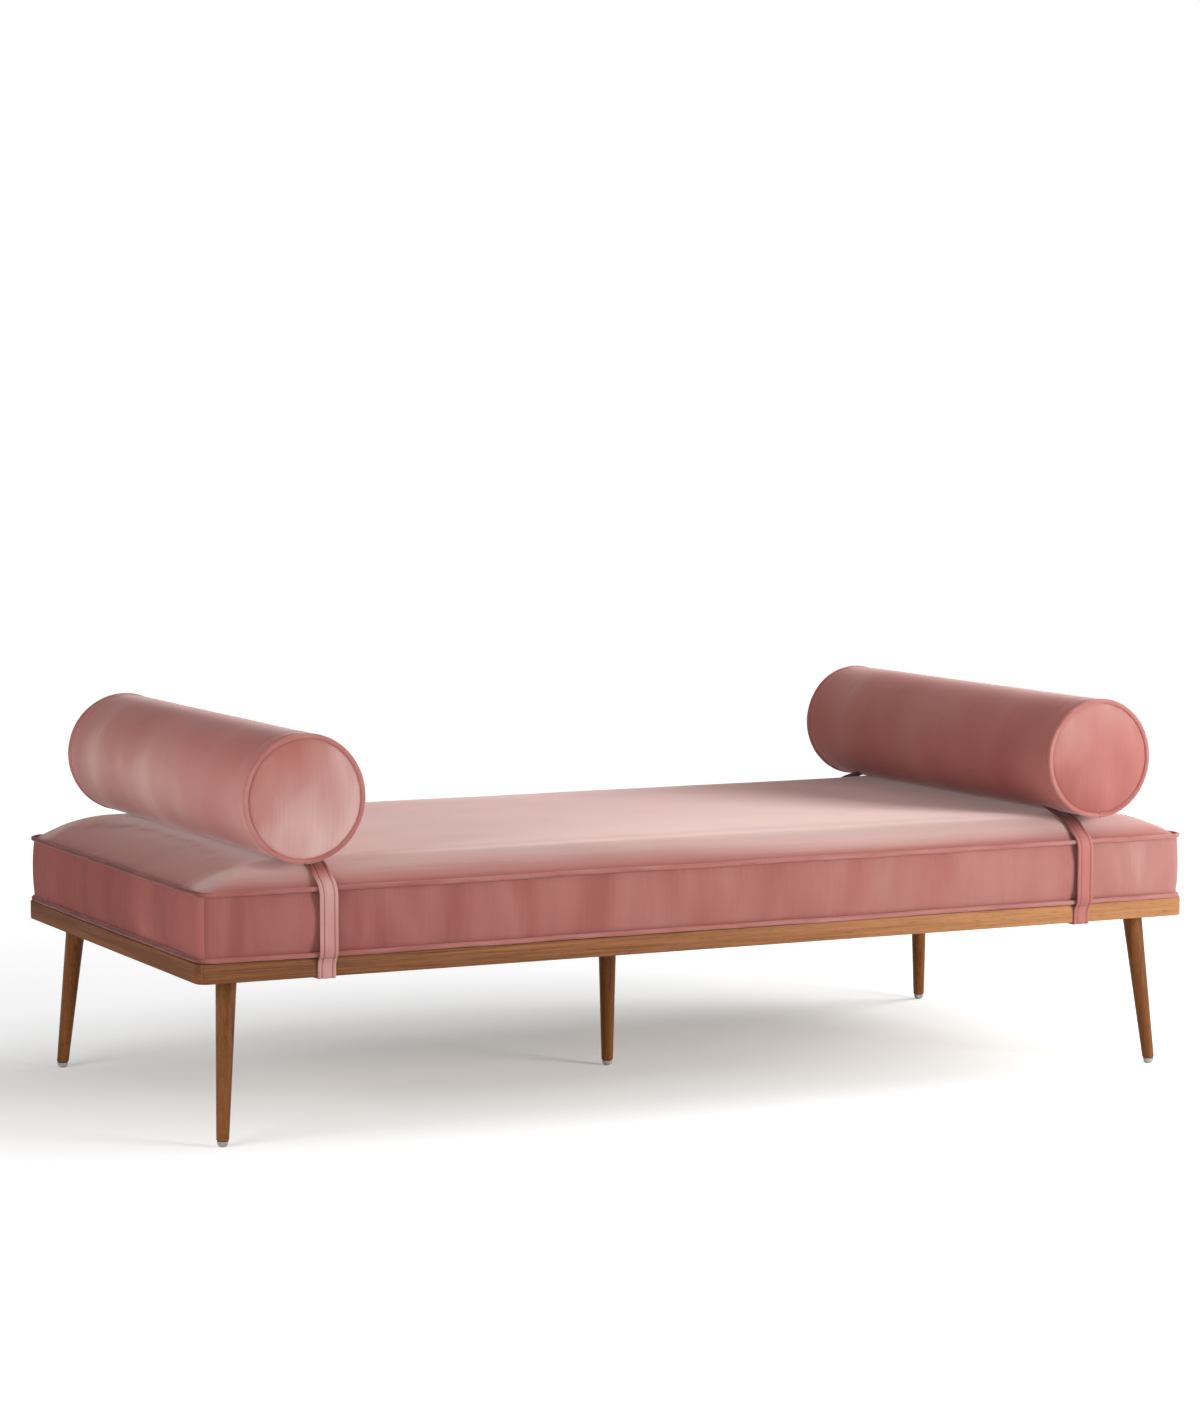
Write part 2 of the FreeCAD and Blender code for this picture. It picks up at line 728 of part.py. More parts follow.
def wood_and_hardware():
    pieces = {}
    fasteners = {"leg_plate_screws": [], "slat_screws": [], "frame_screws": []}

    ring = rail_ring()
    rails = {
        "rail_front": ring.common(mitre_wedge(0, -1)),
        "rail_rear": ring.common(mitre_wedge(0, 1)),
        "rail_left": ring.common(mitre_wedge(-1, 0)),
        "rail_right": ring.common(mitre_wedge(1, 0)),
    }

    beam = centre_beam()
    plates = []
    bolts = []
    glides = []
    for name, top, splay in leg_places():
        bolt = hanger_bolt(top, splay)
        bolt_room = hanger_bolt(top, splay, hanger_bolt_clearance)
        screws = leg_plate_screws(top)
        plates.append(leg_plate(top).cut([bolt] + screws))
        bolts.append(bolt)
        fasteners["leg_plate_screws"] += screws
        foot = V(top.x + splay.x, top.y + splay.y, 0)
        glides.append(glide(top, splay))
        pieces["leg_" + name] = leg(top, splay).cut([bolt, moved(glide_pin(), foot)])
        if name == "centre":
            beam = beam.cut([bolt_room] + screws)
        else:
            x_side = 1 if top.x > 0 else -1
            y_side = 1 if top.y > 0 else -1
            long_screws = block_screws(x_side, y_side)
            block = corner_block(x_side, y_side)
            block = block.cut([bolt_room] + screws + long_screws + block_bores(x_side, y_side))
            pieces["corner_block_" + name] = block
            rail_name = "rail_front" if y_side < 0 else "rail_rear"
            rails[rail_name] = rails[rail_name].cut(long_screws)
            fasteners["frame_screws"] += long_screws

    ledgers = {}
    for y_side, name in ((-1, "front"), (1, "rear")):
        screws = ledger_screws(y_side)
        ledgers[name] = slat_ledger(y_side).cut(screws)
        rails["rail_" + name] = rails["rail_" + name].cut(screws)
        fasteners["frame_screws"] += screws

    brackets = []
    for x_side, name in ((-1, "left"), (1, "right")):
        screws = bracket_screws(x_side)
        brackets.append(beam_bracket(x_side).cut(screws))
        beam = beam.cut(screws[:2])
        rails["rail_" + name] = rails["rail_" + name].cut(screws[2:])
        fasteners["frame_screws"] += screws

    for index, x in enumerate(slat_centres()):
        screws = slat_screws(x)
        fasteners["slat_screws"] += screws
        pieces["slat_%d" % (index + 1)] = slat(x).cut(screws)
        beam = beam.cut(screws)
        ledgers = {name: ledger.cut(screws) for name, ledger in ledgers.items()}
        for name in list(pieces):
            if name.startswith("corner_block_"):
                pieces[name] = pieces[name].cut(screws)

    pieces.update(rails)
    pieces["slat_ledger_front"] = ledgers["front"]
    pieces["slat_ledger_rear"] = ledgers["rear"]
    pieces["centre_beam"] = beam
    pieces["beam_brackets"] = Part.makeCompound(brackets)
    pieces["leg_plates"] = Part.makeCompound(plates)
    pieces["hanger_bolts"] = Part.makeCompound(bolts)
    pieces["foot_glides"] = Part.makeCompound(glides)
    for name, solids in fasteners.items():
        pieces[name] = Part.makeCompound(solids)
    return pieces


def mattress():
    pipings = [mattress_piping(top_seam), mattress_piping(bottom_seam)]
    grooves = [mattress_piping(top_seam, piping_clearance), mattress_piping(bottom_seam, piping_clearance)]
    core = base_solid(core_inset).fuse([boxing_solid(core_inset), crown_solid(core_inset)])
    slot = on_rear_boxing(zip_slot(mattress_zip_length))
    trench = on_rear_boxing(zip_trench(mattress_zip_length))
    return {
        "mattress_core": core.cut(trench),
        "mattress_top_panel": crown_solid(0).cut(crown_solid(cover_thickness)).cut(grooves[0]),
        "mattress_boxing": boxing_solid(0).cut(boxing_solid(cover_thickness)).cut(grooves + [slot]),
        "mattress_bottom_panel": base_solid(0).cut(base_solid(cover_thickness)).cut(grooves[1]),
        "mattress_piping_top": pipings[0],
        "mattress_piping_bottom": pipings[1],
        "mattress_zip": on_rear_boxing(zip_tape(mattress_zip_length)),
        "mattress_zip_slider": on_rear_boxing(zip_slider(mattress_zip_length)),
    }


def bolster(x_side, name):
    place = V(x_side * bolster_axis_x, 0, bolster_axis_z)
    grooves = [bolster_piping(-1, piping_clearance), bolster_piping(1, piping_clearance)]
    slot = on_bolster(zip_slot(bolster_zip_length))
    trench = on_bolster(zip_trench(bolster_zip_length))
    turned = {
        "core": bolster_core().cut(grooves + [trench]),
        "tube": bolster_tube().cut(grooves + [slot]),
        "front_disc": bolster_disc(-1).cut(grooves[0]),
        "rear_disc": bolster_disc(1).cut(grooves[1]),
        "piping": Part.makeCompound([bolster_piping(-1), bolster_piping(1)]),
        "zip": on_bolster(zip_tape(bolster_zip_length)),
        "zip_slider": on_bolster(zip_slider(bolster_zip_length)),
    }
    pieces = {name + "_" + part: moved(shape, place) for part, shape in turned.items()}
    pieces[name + "_strap_front"] = strap(x_side, -1)
    pieces[name + "_strap_rear"] = strap(x_side, 1)
    pieces[name + "_strap_closure"] = Part.makeCompound(closure_pads(x_side))
    return pieces


def main():
    os.makedirs("parts", exist_ok=True)
    pieces = wood_and_hardware()
    pieces.update(mattress())
    pieces.update(bolster(-1, "left_bolster"))
    pieces.update(bolster(1, "right_bolster"))
    for name, shape in pieces.items():
        shape.exportStep("parts/" + name + ".step")


main()
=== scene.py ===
import math

import bmesh
import bpy
import numpy as np
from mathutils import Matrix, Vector, noise


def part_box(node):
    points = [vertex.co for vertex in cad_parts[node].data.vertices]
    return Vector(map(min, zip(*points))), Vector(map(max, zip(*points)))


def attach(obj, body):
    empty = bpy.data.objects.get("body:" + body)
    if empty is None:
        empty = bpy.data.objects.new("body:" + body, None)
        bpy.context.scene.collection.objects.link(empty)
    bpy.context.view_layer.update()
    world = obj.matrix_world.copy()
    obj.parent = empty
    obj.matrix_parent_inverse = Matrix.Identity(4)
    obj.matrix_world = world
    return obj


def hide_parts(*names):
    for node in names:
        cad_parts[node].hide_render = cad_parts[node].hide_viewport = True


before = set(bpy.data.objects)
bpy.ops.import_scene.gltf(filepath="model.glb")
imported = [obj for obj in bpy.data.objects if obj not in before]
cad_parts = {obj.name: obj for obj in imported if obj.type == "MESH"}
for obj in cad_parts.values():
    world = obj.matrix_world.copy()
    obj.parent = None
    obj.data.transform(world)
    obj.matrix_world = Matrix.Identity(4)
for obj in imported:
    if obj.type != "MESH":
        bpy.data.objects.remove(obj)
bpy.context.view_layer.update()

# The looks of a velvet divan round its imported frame. Metres, with X along the divan, Y to its rear
# and Z up from the floor.

scene = bpy.context.scene
scene.view_settings.view_transform = "Standard"

# Places and sizes read from the frame
rail_low, rail_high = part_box("rail_front")
half_length = rail_high.x
half_depth = -rail_low.y
rail_bottom = rail_low.z
rail_top = rail_high.z
top_pipe_low, top_pipe_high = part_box("mattress_piping_top")
base_pipe_low, base_pipe_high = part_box("mattress_piping_bottom")
top_seam = (top_pipe_low.z + top_pipe_high.z) / 2
bottom_seam = (base_pipe_low.z + base_pipe_high.z) / 2
mattress_pipe_radius = (top_pipe_high.z - top_pipe_low.z) / 2
mattress_pipe_out = top_pipe_high.x - half_length - mattress_pipe_radius
crown_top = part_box("mattress_top_panel")[1].z
crown_rise = crown_top - top_seam
boxing_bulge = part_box("mattress_boxing")[1].x - half_length
boxing_height = top_seam - bottom_seam

# The mattress cover: its corners in plan, the crown's run in from the seams, the boxing's swell
plan_corner = 0.025
crown_run_front = 0.080
crown_run_end = 0.145
crown_corner_power = 3.0
boxing_fullness = 0.65
corner_flatness = 0.6
corner_reach = 0.08
mattress_rows = (240, 80, 21)
mattress_unevenness = 0.0010
boxing_wave = 0.0009
top_wave = 0.0005
mattress_wave_length = 0.11
mattress_seam_shade_reach = 0.006

# The cloth simulation that makes the covers uneven
cover_stuff = {"quality": 4, "mass": 0.3, "tension_stiffness": 15, "compression_stiffness": 15,
               "bending_stiffness": 0.5, "shrink_min": -0.004, "use_pressure": True}
filling_frames = 20

# The mattress piping, which is taller than it is wide and sunk into its seam
piping_tallness = 1.15
piping_sink = 0.0030
piping_corner_sink = 0.0024
piping_lumps = 0.00022
cord_sides = 12

# The slots that hold the zips
zip_slot = 0.012
zip_slot_wall = 0.003
zip_slot_margin = 0.005
zip_slot_depth = 0.0062
zip_clearance = 0.0004
bolster_zip_turn = math.radians(90 + 50)

# How the seams wander from a straight line, and how the cloth gathers beside them
wander_up = 0.0011
wander_in = 0.0008
wander_length = 0.16
gather_depth = 0.00045
gather_length = 0.016
gather_reach = 0.020

# Bolsters: the tube is drawn in and pleated at its seams, and the discs are domed
bolster_rows = 100
bolster_turn_steps = 96
bolster_unevenness = 0.0010
bolster_swell = 0.0008
bolster_draw = 0.0030
bolster_draw_reach = 0.016
bolster_wave = 0.0008
bolster_wave_length = 0.09
bolster_seam_shade_reach = 0.0045
pleat_depth = 0.0007
pleat_length = 0.013
pleat_reach = 0.022
join_pleats = 1.6
join_pleat_spread = 0.22
disc_rows = 14
disc_swell = 0.0040
disc_dome_power = 2.4
underside_gap = 0.0006
underside_give = 0.2

# Piping rings, each with a small notched join at its lowest point
ring_steps = 240
ring_slimness = 0.72
ring_sway = 0.0006
ring_lumps = 0.00020
ring_join_swell = 0.0006
ring_join_reach = 0.010
ring_join_notch = 0.0022
ring_join_gap = 0.0022

# Straps: half of the section, as distance from the middle and height over the flat face
strap_section = (
    (0.0000, 0.00010),
    (0.0040, 0.00008),
    (0.0074, -0.00005),
    (0.0084, -0.00045),
    (0.0092, -0.00105),
    (0.0100, -0.00045),
    (0.0110, 0.00025),
    (0.0128, 0.00055),
    (0.0146, 0.00015),
    (0.0156, -0.00070),
    (0.0160, -0.00160),
)
strap_groove = strap_section[4]
strap_groove_shade_width = 0.0011
strap_edge_start = 0.0155
strap_inner_rounding = 0.0008
strap_thickness = 0.0032
strap_sway = 0.0008
strap_gap = 0.0003
strap_lift_angle = math.radians(15)
strap_lift_length = 0.075
strap_front_past_seam = 0.0015
strap_return_drop = 0.012
strap_bend = 0.008
strap_edge_bend = 0.028
strap_rail_bend = 0.020
strap_step = 0.0045
strap_overlap = 0.120
strap_overlap_spare = 0.002
strap_step_run = 0.026
closure_thickness = 0.001
rail_rounding = 0.002
stitch_spacing = 0.0042
stitch_length = 0.0030
stitch_radius = 0.00042

# Finishes
velvet_rose = (0.440, 0.165, 0.145)
# The velvet's tones by place on a scale: the lowest and highest stops carry the painted shade and the
# painted highlights.
velvet_tones = (
    (0.00, (0.34, 0.24, 0.24)),
    (0.35, (0.80, 0.66, 0.66)),
    (0.55, (1.00, 1.00, 1.00)),
    (0.75, (1.10, 1.36, 1.38)),
    (1.00, (1.48, 2.55, 2.65)),
)
sheen_rose = (1.0, 0.80, 0.76, 1)
thread_dark = (0.20, 0.06, 0.055, 1)
thread_pale = (0.30, 0.10, 0.09, 1)
tape_dark = (0.26, 0.10, 0.09, 1)
tape_pale = (0.34, 0.14, 0.13, 1)
base_dark = (0.16, 0.14, 0.13, 1)
base_pale = (0.24, 0.21, 0.19, 1)
oak_dark = (0.120, 0.038, 0.012, 1)
oak_middle = (0.255, 0.093, 0.031, 1)
oak_pale = (0.460, 0.210, 0.082, 1)
oak_pore = (0.095, 0.030, 0.010, 1)
walnut_dark = (0.082, 0.024, 0.005, 1)
walnut_middle = (0.175, 0.058, 0.012, 1)
walnut_pale = (0.270, 0.098, 0.024, 1)
walnut_pore = (0.040, 0.013, 0.005, 1)
pine_dark = (0.42, 0.27, 0.13, 1)
pine_middle = (0.58, 0.40, 0.22, 1)
pine_pale = (0.68, 0.50, 0.30, 1)
pine_pore = (0.30, 0.18, 0.08, 1)
ply_dark = (0.45, 0.31, 0.17, 1)
ply_middle = (0.62, 0.46, 0.28, 1)
ply_pale = (0.72, 0.56, 0.37, 1)
ply_pore = (0.35, 0.22, 0.11, 1)
nylon_dark = (0.30, 0.29, 0.28, 1)
nylon_pale = (0.46, 0.45, 0.43, 1)

# Painted light and shade on the velvet, paler above 0 and darker below 0: a paler band on the top's
# shoulders, painted shade beside the left bolster, near the top's edges, round the ends and on the
# straps where they run under the bolsters, and paler straps on the left bolster than on the right
shoulder_painted_highlight = 0.95
shoulder_middle = 0.046
shoulder_spread = 0.040
beside_roll_painted_shade = -0.12
beside_roll_start = 0.80
beside_roll_spread = 0.05
seam_painted_shade = -0.40
seam_painted_shade_reach = 0.008
left_end_painted_shade = -0.58
right_end_painted_shade = -0.25
piping_end_shade_share = 1.3
strap_painted_light = {"left": 0.50, "right": -0.10}
strap_under_roll_painted_shade = -1.3
strap_outside_reach = 0.022

# Lamps, as name, place, aim, size and power, and the light that the world adds
lamps = (
    ("key", (2.5, -3.5, 1.2), (0.4, 0, 0.3), (1.6, 1.4), 145),
    ("right", (3.0, 0.3, 1.9), (0.3, 0, 0.3), (1.6, 1.6), 48),
    ("overhead", (1.4, -0.3, 2.8), (0.2, 0, 0.3), (1.8, 1.6), 22),
    ("left", (-3.5, -1.4, 1.2), (-0.5, 0, 0.3), (2.0, 1.6), 62),
)
world_light = 0.18

# The floor's own glow for camera and glossy rays, weaker round the divan and a little behind it, where
# it paints a soft shadow over the cast one: share of the reach, and strength
floor_reach = 8
floor_stretch = (0.95, 1.8, 1)
floor_shift = (0.1, -0.50, 0)
floor_glow_and_painted_shadow = ((0.08, 0.24), (0.19, 0.49), (0.7, 0.88))

# The photograph's view, with its angles in degrees
camera_place = (-3.1449, -6.4237, 1.2657)
camera_down = 4.97
camera_turn = -25.98
camera_lens = 100.42


# Materials

def give(material, socket, value):
    """Set a socket to a number or colour, or join it to the output of another node."""
    if hasattr(value, "is_linked"):
        material.node_tree.links.new(value, socket)
    else:
        socket.default_value = value


def feed(material, node, values):
    """Give a node's sockets their values by name, with _ for a space."""
    for name, value in values.items():
        give(material, node.inputs[name.replace("_", " ")], value)


def to_shader(material, **values):
    feed(material, material.node_tree.nodes["Principled BSDF"], values)


def finish(name, **values):
    """A new material whose shader sockets get the given values."""
    material = bpy.data.materials.new(name)
    material.use_nodes = True
    to_shader(material, **values)
    return material


def add_node(material, kind, **settings):
    node = material.node_tree.nodes.new(kind)
    for name, value in settings.items():
        setattr(node, name, value)
    return node


def fed(material, kind, output, **values):
    """The named output of a new node whose sockets get the given values."""
    node = add_node(material, kind)
    feed(material, node, values)
    return node.outputs[output]


def calculated(material, operation, *values):
    node = add_node(material, "ShaderNodeMath", operation=operation)
    for socket, value in zip(node.inputs, values):
        give(material, socket, value)
    return node.outputs[0]


def stored(material, name):
    """A value that mark() has stored for each vertex."""
    return add_node(material, "ShaderNodeAttribute", attribute_name=name).outputs["Fac"]


def pattern_space(material, source, scale, shift=(0, 0, 0)):
    """The coordinates of a pattern, from the piece's UV map or its place, with steps per metre."""
    place = add_node(material, "ShaderNodeTexCoord").outputs[source]
    return fed(material, "ShaderNodeMapping", "Vector", Vector=place, Scale=scale, Location=shift)


def clouds(material, source, scale, detail, roughness, distortion=0.0):
    """Soft random values round 0.5."""
    return fed(material, "ShaderNodeTexNoise", "Fac", Vector=pattern_space(material, source, scale),
               Scale=1.0, Detail=detail, Roughness=roughness, Distortion=distortion)


def between(material, value, low, high, start=0.0, end=1.0):
    """Stretch the part of a value from low to high over start to end."""
    return fed(material, "ShaderNodeMapRange", "Result", Value=value, From_Min=low, From_Max=high,
               To_Min=start, To_Max=end)


def graded_colour(material, value, stops):
    """A colour that follows a value, through stops of a place from 0 to 1 and a colour."""
    ramp = add_node(material, "ShaderNodeValToRGB")
    elements = ramp.color_ramp.elements
    while len(elements) < len(stops):
        elements.new(0.5)
    for element, (place, colour) in zip(elements, stops):
        element.position = place
        element.color = colour
    feed(material, ramp, {"Fac": value})
    return ramp.outputs["Color"]


def two_tone(material, value, dark, light):
    """From a dark colour to a light one over the middle of a value."""
    return graded_colour(material, between(material, value, 0.3, 0.7), ((0, dark), (1, light)))


def mixed(material, share, first, second):
    """One colour laid over another by a share, each of them fixed or a node's output."""
    node = add_node(material, "ShaderNodeMix", data_type="RGBA")
    for number, value in ((0, share), (6, first), (7, second)):
        give(material, node.inputs[number], value)
    return node.outputs[2]


def raised(material, height, distance, strength, **under):
    """Bumps from a height, over the bumps that are given as Normal."""
    return fed(material, "ShaderNodeBump", "Normal", Height=height, Distance=distance,
               Strength=strength, **under)


def plus_painted_light_along_x(material, value, painted_light_along_x):
    """A value that also grows along X, by the given amount for each metre: painted light along the
    divan.
    """
    place = pattern_space(material, "Object", (1, 1, 1))
    right = fed(material, "ShaderNodeSeparateXYZ", "X", Vector=place)
    return calculated(material, "MULTIPLY_ADD", right, painted_light_along_x, value)


def velvet_stops(level):
    """The velvet's tones from deep to pale, which carry the random tone and the painted light and shade.
    """
    return [(place, tuple(part * share * level for part, share in zip(velvet_rose, tone)) + (1,))
            for place, tone in velvet_tones]


def velvet(name, level, patch, streak, painted_light_along_x=0.0, sheen=(0.6, 0.35)):
    """Short-pile velvet: patches where the pile leans, fine lines of pile, painted shade at the seams,
    and painted light and shade from the values stored on the piece.

    The cloth map's first value runs across the pile and its second along it. The patches and
    streaks are given in steps per metre of those two, the gradient along X is painted light that
    makes the cloth paler towards the right-hand end of the divan, or darker where it is negative,
    and the sheen is its weight and roughness. The level is the piece's brightness, set piece by
    piece to how lit that piece looks, so it paints light and shade too.
    """
    material = finish(name, Roughness=0.85, Specular_IOR_Level=0.15, Sheen_Weight=sheen[0],
                      Sheen_Roughness=sheen[1], Sheen_Tint=sheen_rose)
    patches = clouds(material, "UV", patch + (1,), 2.0, 0.45, 0.4)
    streaks_and_painted_light = clouds(material, "UV", streak + (1,), 3.0, 0.55)
    lines = clouds(material, "UV", (520, 8, 1), 2.0, 0.5)
    pile = clouds(material, "UV", (2100, 1300, 1), 1.0, 0.5)
    shade = mixed(material, 0.15, patches, streaks_and_painted_light)
    # The random tone, with painted light added along X.
    shade = between(material, plus_painted_light_along_x(material, shade, painted_light_along_x), 0, 1, 0.15, 0.95)
    # The painted light and shade stored on each piece move the tone up or down the stops.
    tone_with_painted_light = calculated(material, "MULTIPLY_ADD", stored(material, "painted_light"), 0.5, shade)
    stops = velvet_stops(level)
    deep, pale = stops[1][1], stops[3][1]
    colour = graded_colour(material, tone_with_painted_light, stops)
    colour = mixed(material, 0.03, colour, two_tone(material, lines, deep, pale))
    # Painted shade: darker towards the deep tone at the seams, in the zip grooves and in the strap's
    # grooves.
    seam = between(material, stored(material, "seam"), 0, 1, 0, 0.65)
    normal = raised(material, lines, 0.00012, 0.2)
    to_shader(material, Base_Color=mixed(material, seam, colour, deep),
              Normal=raised(material, pile, 0.00015, 0.3, Normal=normal))
    return material


def wood(name, along, dark, middle, pale, pore, roughness, painted_light_along_x=0.0, gloss=0.35):
    """Straight-grained lacquered wood: bands, fine fibres and short pores along one axis, and a gradient
    along X that is painted light, paler towards the right-hand end of the divan.
    """
    def grain(over, ends, *look):
        scale = [over, over, over]
        scale[along] = ends
        return clouds(material, "Object", scale, *look)

    material = finish(name, Specular_IOR_Level=gloss, Coat_Weight=gloss * 0.2, Coat_Roughness=0.3)
    bands = plus_painted_light_along_x(material, grain(55, 1.6, 4.0, 0.55, 0.6), painted_light_along_x)
    fibres = grain(420, 6, 4.0, 0.6, 0.2)
    pores = between(material, grain(1100, 38, 2.0, 0.5), 0.60, 0.68)
    colour = graded_colour(material, between(material, bands, 0.28, 0.72),
                           ((0.0, dark), (0.45, middle), (1.0, pale)))
    colour = mixed(material, 0.38, colour, two_tone(material, fibres, dark, pale))
    colour = mixed(material, between(material, pores, 0, 1, 0, 0.65), colour, pore)
    normal = raised(material, fibres, 0.0001, 0.4)
    closed = between(material, pores, 0, 1, 1, 0)
    to_shader(material, Base_Color=colour,
              Roughness=between(material, fibres, 0.2, 0.8, roughness + 0.10, roughness - 0.08),
              Normal=raised(material, closed, 0.0001, 0.5, Normal=normal))
    return material


def plain_cloth(name, dark, light):
    """Woven lining cloth."""
    material = finish(name, Roughness=0.95, Specular_IOR_Level=0.1)
    weave = clouds(material, "Object", (1500, 1500, 1500), 1.0, 0.5)
    slubs = clouds(material, "Object", (60, 500, 300), 2.0, 0.5)
    to_shader(material, Base_Color=two_tone(material, slubs, dark, light),
              Normal=raised(material, weave, 0.0002, 0.6))
    return material


def metal(name, colour, roughness):
    """Turned or pressed metal with faint scratches and a slightly uneven sheen."""
    material = finish(name, Metallic=1.0)
    spots = clouds(material, "Object", (90, 90, 90), 3.0, 0.6)
    scratches = clouds(material, "Object", (2500, 160, 900), 2.0, 0.5)
    darker = tuple(0.7 * part for part in colour[:3]) + (1,)
    to_shader(material, Base_Color=two_tone(material, spots, darker, colour),
              Roughness=between(material, scratches, 0.2, 0.8, roughness - 0.1, roughness + 0.1))
    return material


def nylon(name):
    """Milky translucent nylon."""
    material = finish(name, Roughness=0.38, Subsurface_Weight=0.4, Subsurface_Scale=0.004,
                      Specular_IOR_Level=0.5)
    cloudy = clouds(material, "Object", (260, 260, 260), 2.0, 0.5)
    to_shader(material, Base_Color=two_tone(material, cloudy, nylon_dark, nylon_pale),
              Normal=raised(material, cloudy, 0.0002, 0.3))
    return material


# Meshes

def add_object(name, data, place=(0, 0, 0), angles=(0, 0, 0)):
    holder = bpy.data.objects.new(name, data)
    holder.location = place
    holder.rotation_euler = angles
    scene.collection.objects.link(holder)
    return holder


def mesh_from(name, bm, materials=()):
    """A mesh from a bmesh, which is freed."""
    mesh = bpy.data.meshes.new(name)
    bm.to_mesh(mesh)
    bm.free()
    for material in materials:
        mesh.materials.append(material)
    return mesh


def new_piece(name, bm, *materials):
    """A smooth-shaded object from a bmesh whose faces point outwards."""
    bmesh.ops.recalc_face_normals(bm, faces=bm.faces)
    mesh = mesh_from(name, bm, materials)
    mesh.shade_smooth()
    return add_object(name, mesh)


def cut_block(cuts):
    """A closed block from -1 to 1 whose edges along X, Y and Z are cut into rows."""
    bm = bmesh.new()
    bmesh.ops.create_cube(bm, size=2)
    for axis, count in enumerate(cuts):
        along = [e for e in bm.edges if abs(e.verts[0].co[axis] - e.verts[1].co[axis]) > 1]
        bmesh.ops.subdivide_edges(bm, edges=along, cuts=count)
    return bm


def read(items, field, kind, width=1):
    """One property of all vertices, corners or faces of a mesh, as an array."""
    values = np.empty(len(items) * width, kind)
    items.foreach_get(field, values)
    return values.reshape(-1, width) if width > 1 else values


def points_of(piece):
    return read(piece.data.vertices, "co", float, 3)


def normals_of(piece):
    return read(piece.data.vertex_normals, "vector", np.float32, 3).astype(float)


def place_points(piece, points):
    piece.data.vertices.foreach_set("co", points.astype(np.float32).ravel())
    piece.data.update()


def corner_vertices(piece):
    """The vertex of each face corner."""
    return read(piece.data.loops, "vertex_index", np.int32)


def corner_faces(piece):
    """The face of each face corner."""
    counts = read(piece.data.polygons, "loop_total", np.int32)
    return np.repeat(np.arange(len(counts)), counts)


def corner_materials(piece):
    return read(piece.data.polygons, "material_index", np.int32)[corner_faces(piece)]


def closed_round(piece, values, turn):
    """Values per face corner without a jump where a ring closes: each face follows one corner."""
    faces = corner_faces(piece)
    first = np.searchsorted(faces, np.arange(len(piece.data.polygons)))
    return values - turn * np.round((values - values[first][faces]) / turn)


def lay_cloth(piece, across, along):
    """Write the UV map, in metres, from values per face corner."""
    uv = piece.data.uv_layers.new(name="cloth")
    uv.data.foreach_set("uv", np.stack([across, along], 1).astype(np.float32).ravel())


def mark(piece, name, values):
    """Store a value for each vertex: how near a seam is, for painted shade there, or the painted light
    and shade.
    """
    attribute = piece.data.attributes.new(name, "FLOAT", "POINT")
    attribute.data.foreach_set("value", np.asarray(values, np.float32))


def apply_modifiers(piece):
    """Turn the piece's modifiers into its mesh."""
    bpy.context.view_layer.update()
    graph = bpy.context.evaluated_depsgraph_get()
    old = piece.data
    mesh = bpy.data.meshes.new_from_object(piece.evaluated_get(graph), preserve_all_data_layers=True,
                                           depsgraph=graph)
    piece.modifiers.clear()
    piece.data = mesh
    bpy.data.meshes.remove(old)
    mesh.name = piece.name


def subdivided(piece):
    fine = piece.modifiers.new("finer", "SUBSURF")
    fine.levels = 1
    fine.render_levels = 1
    apply_modifiers(piece)


def fill_cover(piece, held, pressure, most):
    """Blow a sewn cover up from inside, held at its seams, and keep only how uneven it comes out."""
    start = points_of(piece)
    normals = normals_of(piece)
    group = piece.vertex_groups.new(name="held")
    group.add(np.flatnonzero(held > 0).tolist(), 1.0, "REPLACE")
    cloth = piece.modifiers.new("cover", "CLOTH")
    for name, value in cover_stuff.items():
        setattr(cloth.settings, name, value)
    cloth.settings.uniform_pressure_force = pressure
    cloth.settings.effector_weights.gravity = 0
    cloth.settings.vertex_group_mass = "held"
    cloth.collision_settings.use_collision = False
    for number in range(1, filling_frames + 1):
        scene.frame_set(number)
    apply_modifiers(piece)
    scene.frame_set(1)
    moved = points_of(piece) - start
    free = held == 0
    outwards = (moved * normals).sum(1)
    moved -= normals * (np.median(outwards[free]) * (1 - held))[:, None]
    length = np.linalg.norm(moved, axis=1, keepdims=True)
    limited = most * np.tanh(length / most)
    place_points(piece, start + moved * limited / np.maximum(length, 1e-9))
    piece.vertex_groups.clear()


def noise_at(points, length, seed):
    """Soft noise of the given wavelength at each point, from about -1 to 1."""
    shift = Vector((seed * 7.3, seed * 3.1, seed * 11.9))
    return np.array([noise.noise(Vector(p) / length + shift) for p in points])


def ease(values):
    """0 to 1 with soft ends."""
    values = np.clip(values, 0, 1)
    return values * values * (3 - 2 * values)


def bell(distance, reach):
    """1 at no distance, falling softly to 0 past the reach."""
    return np.exp(-(distance / reach) ** 2)


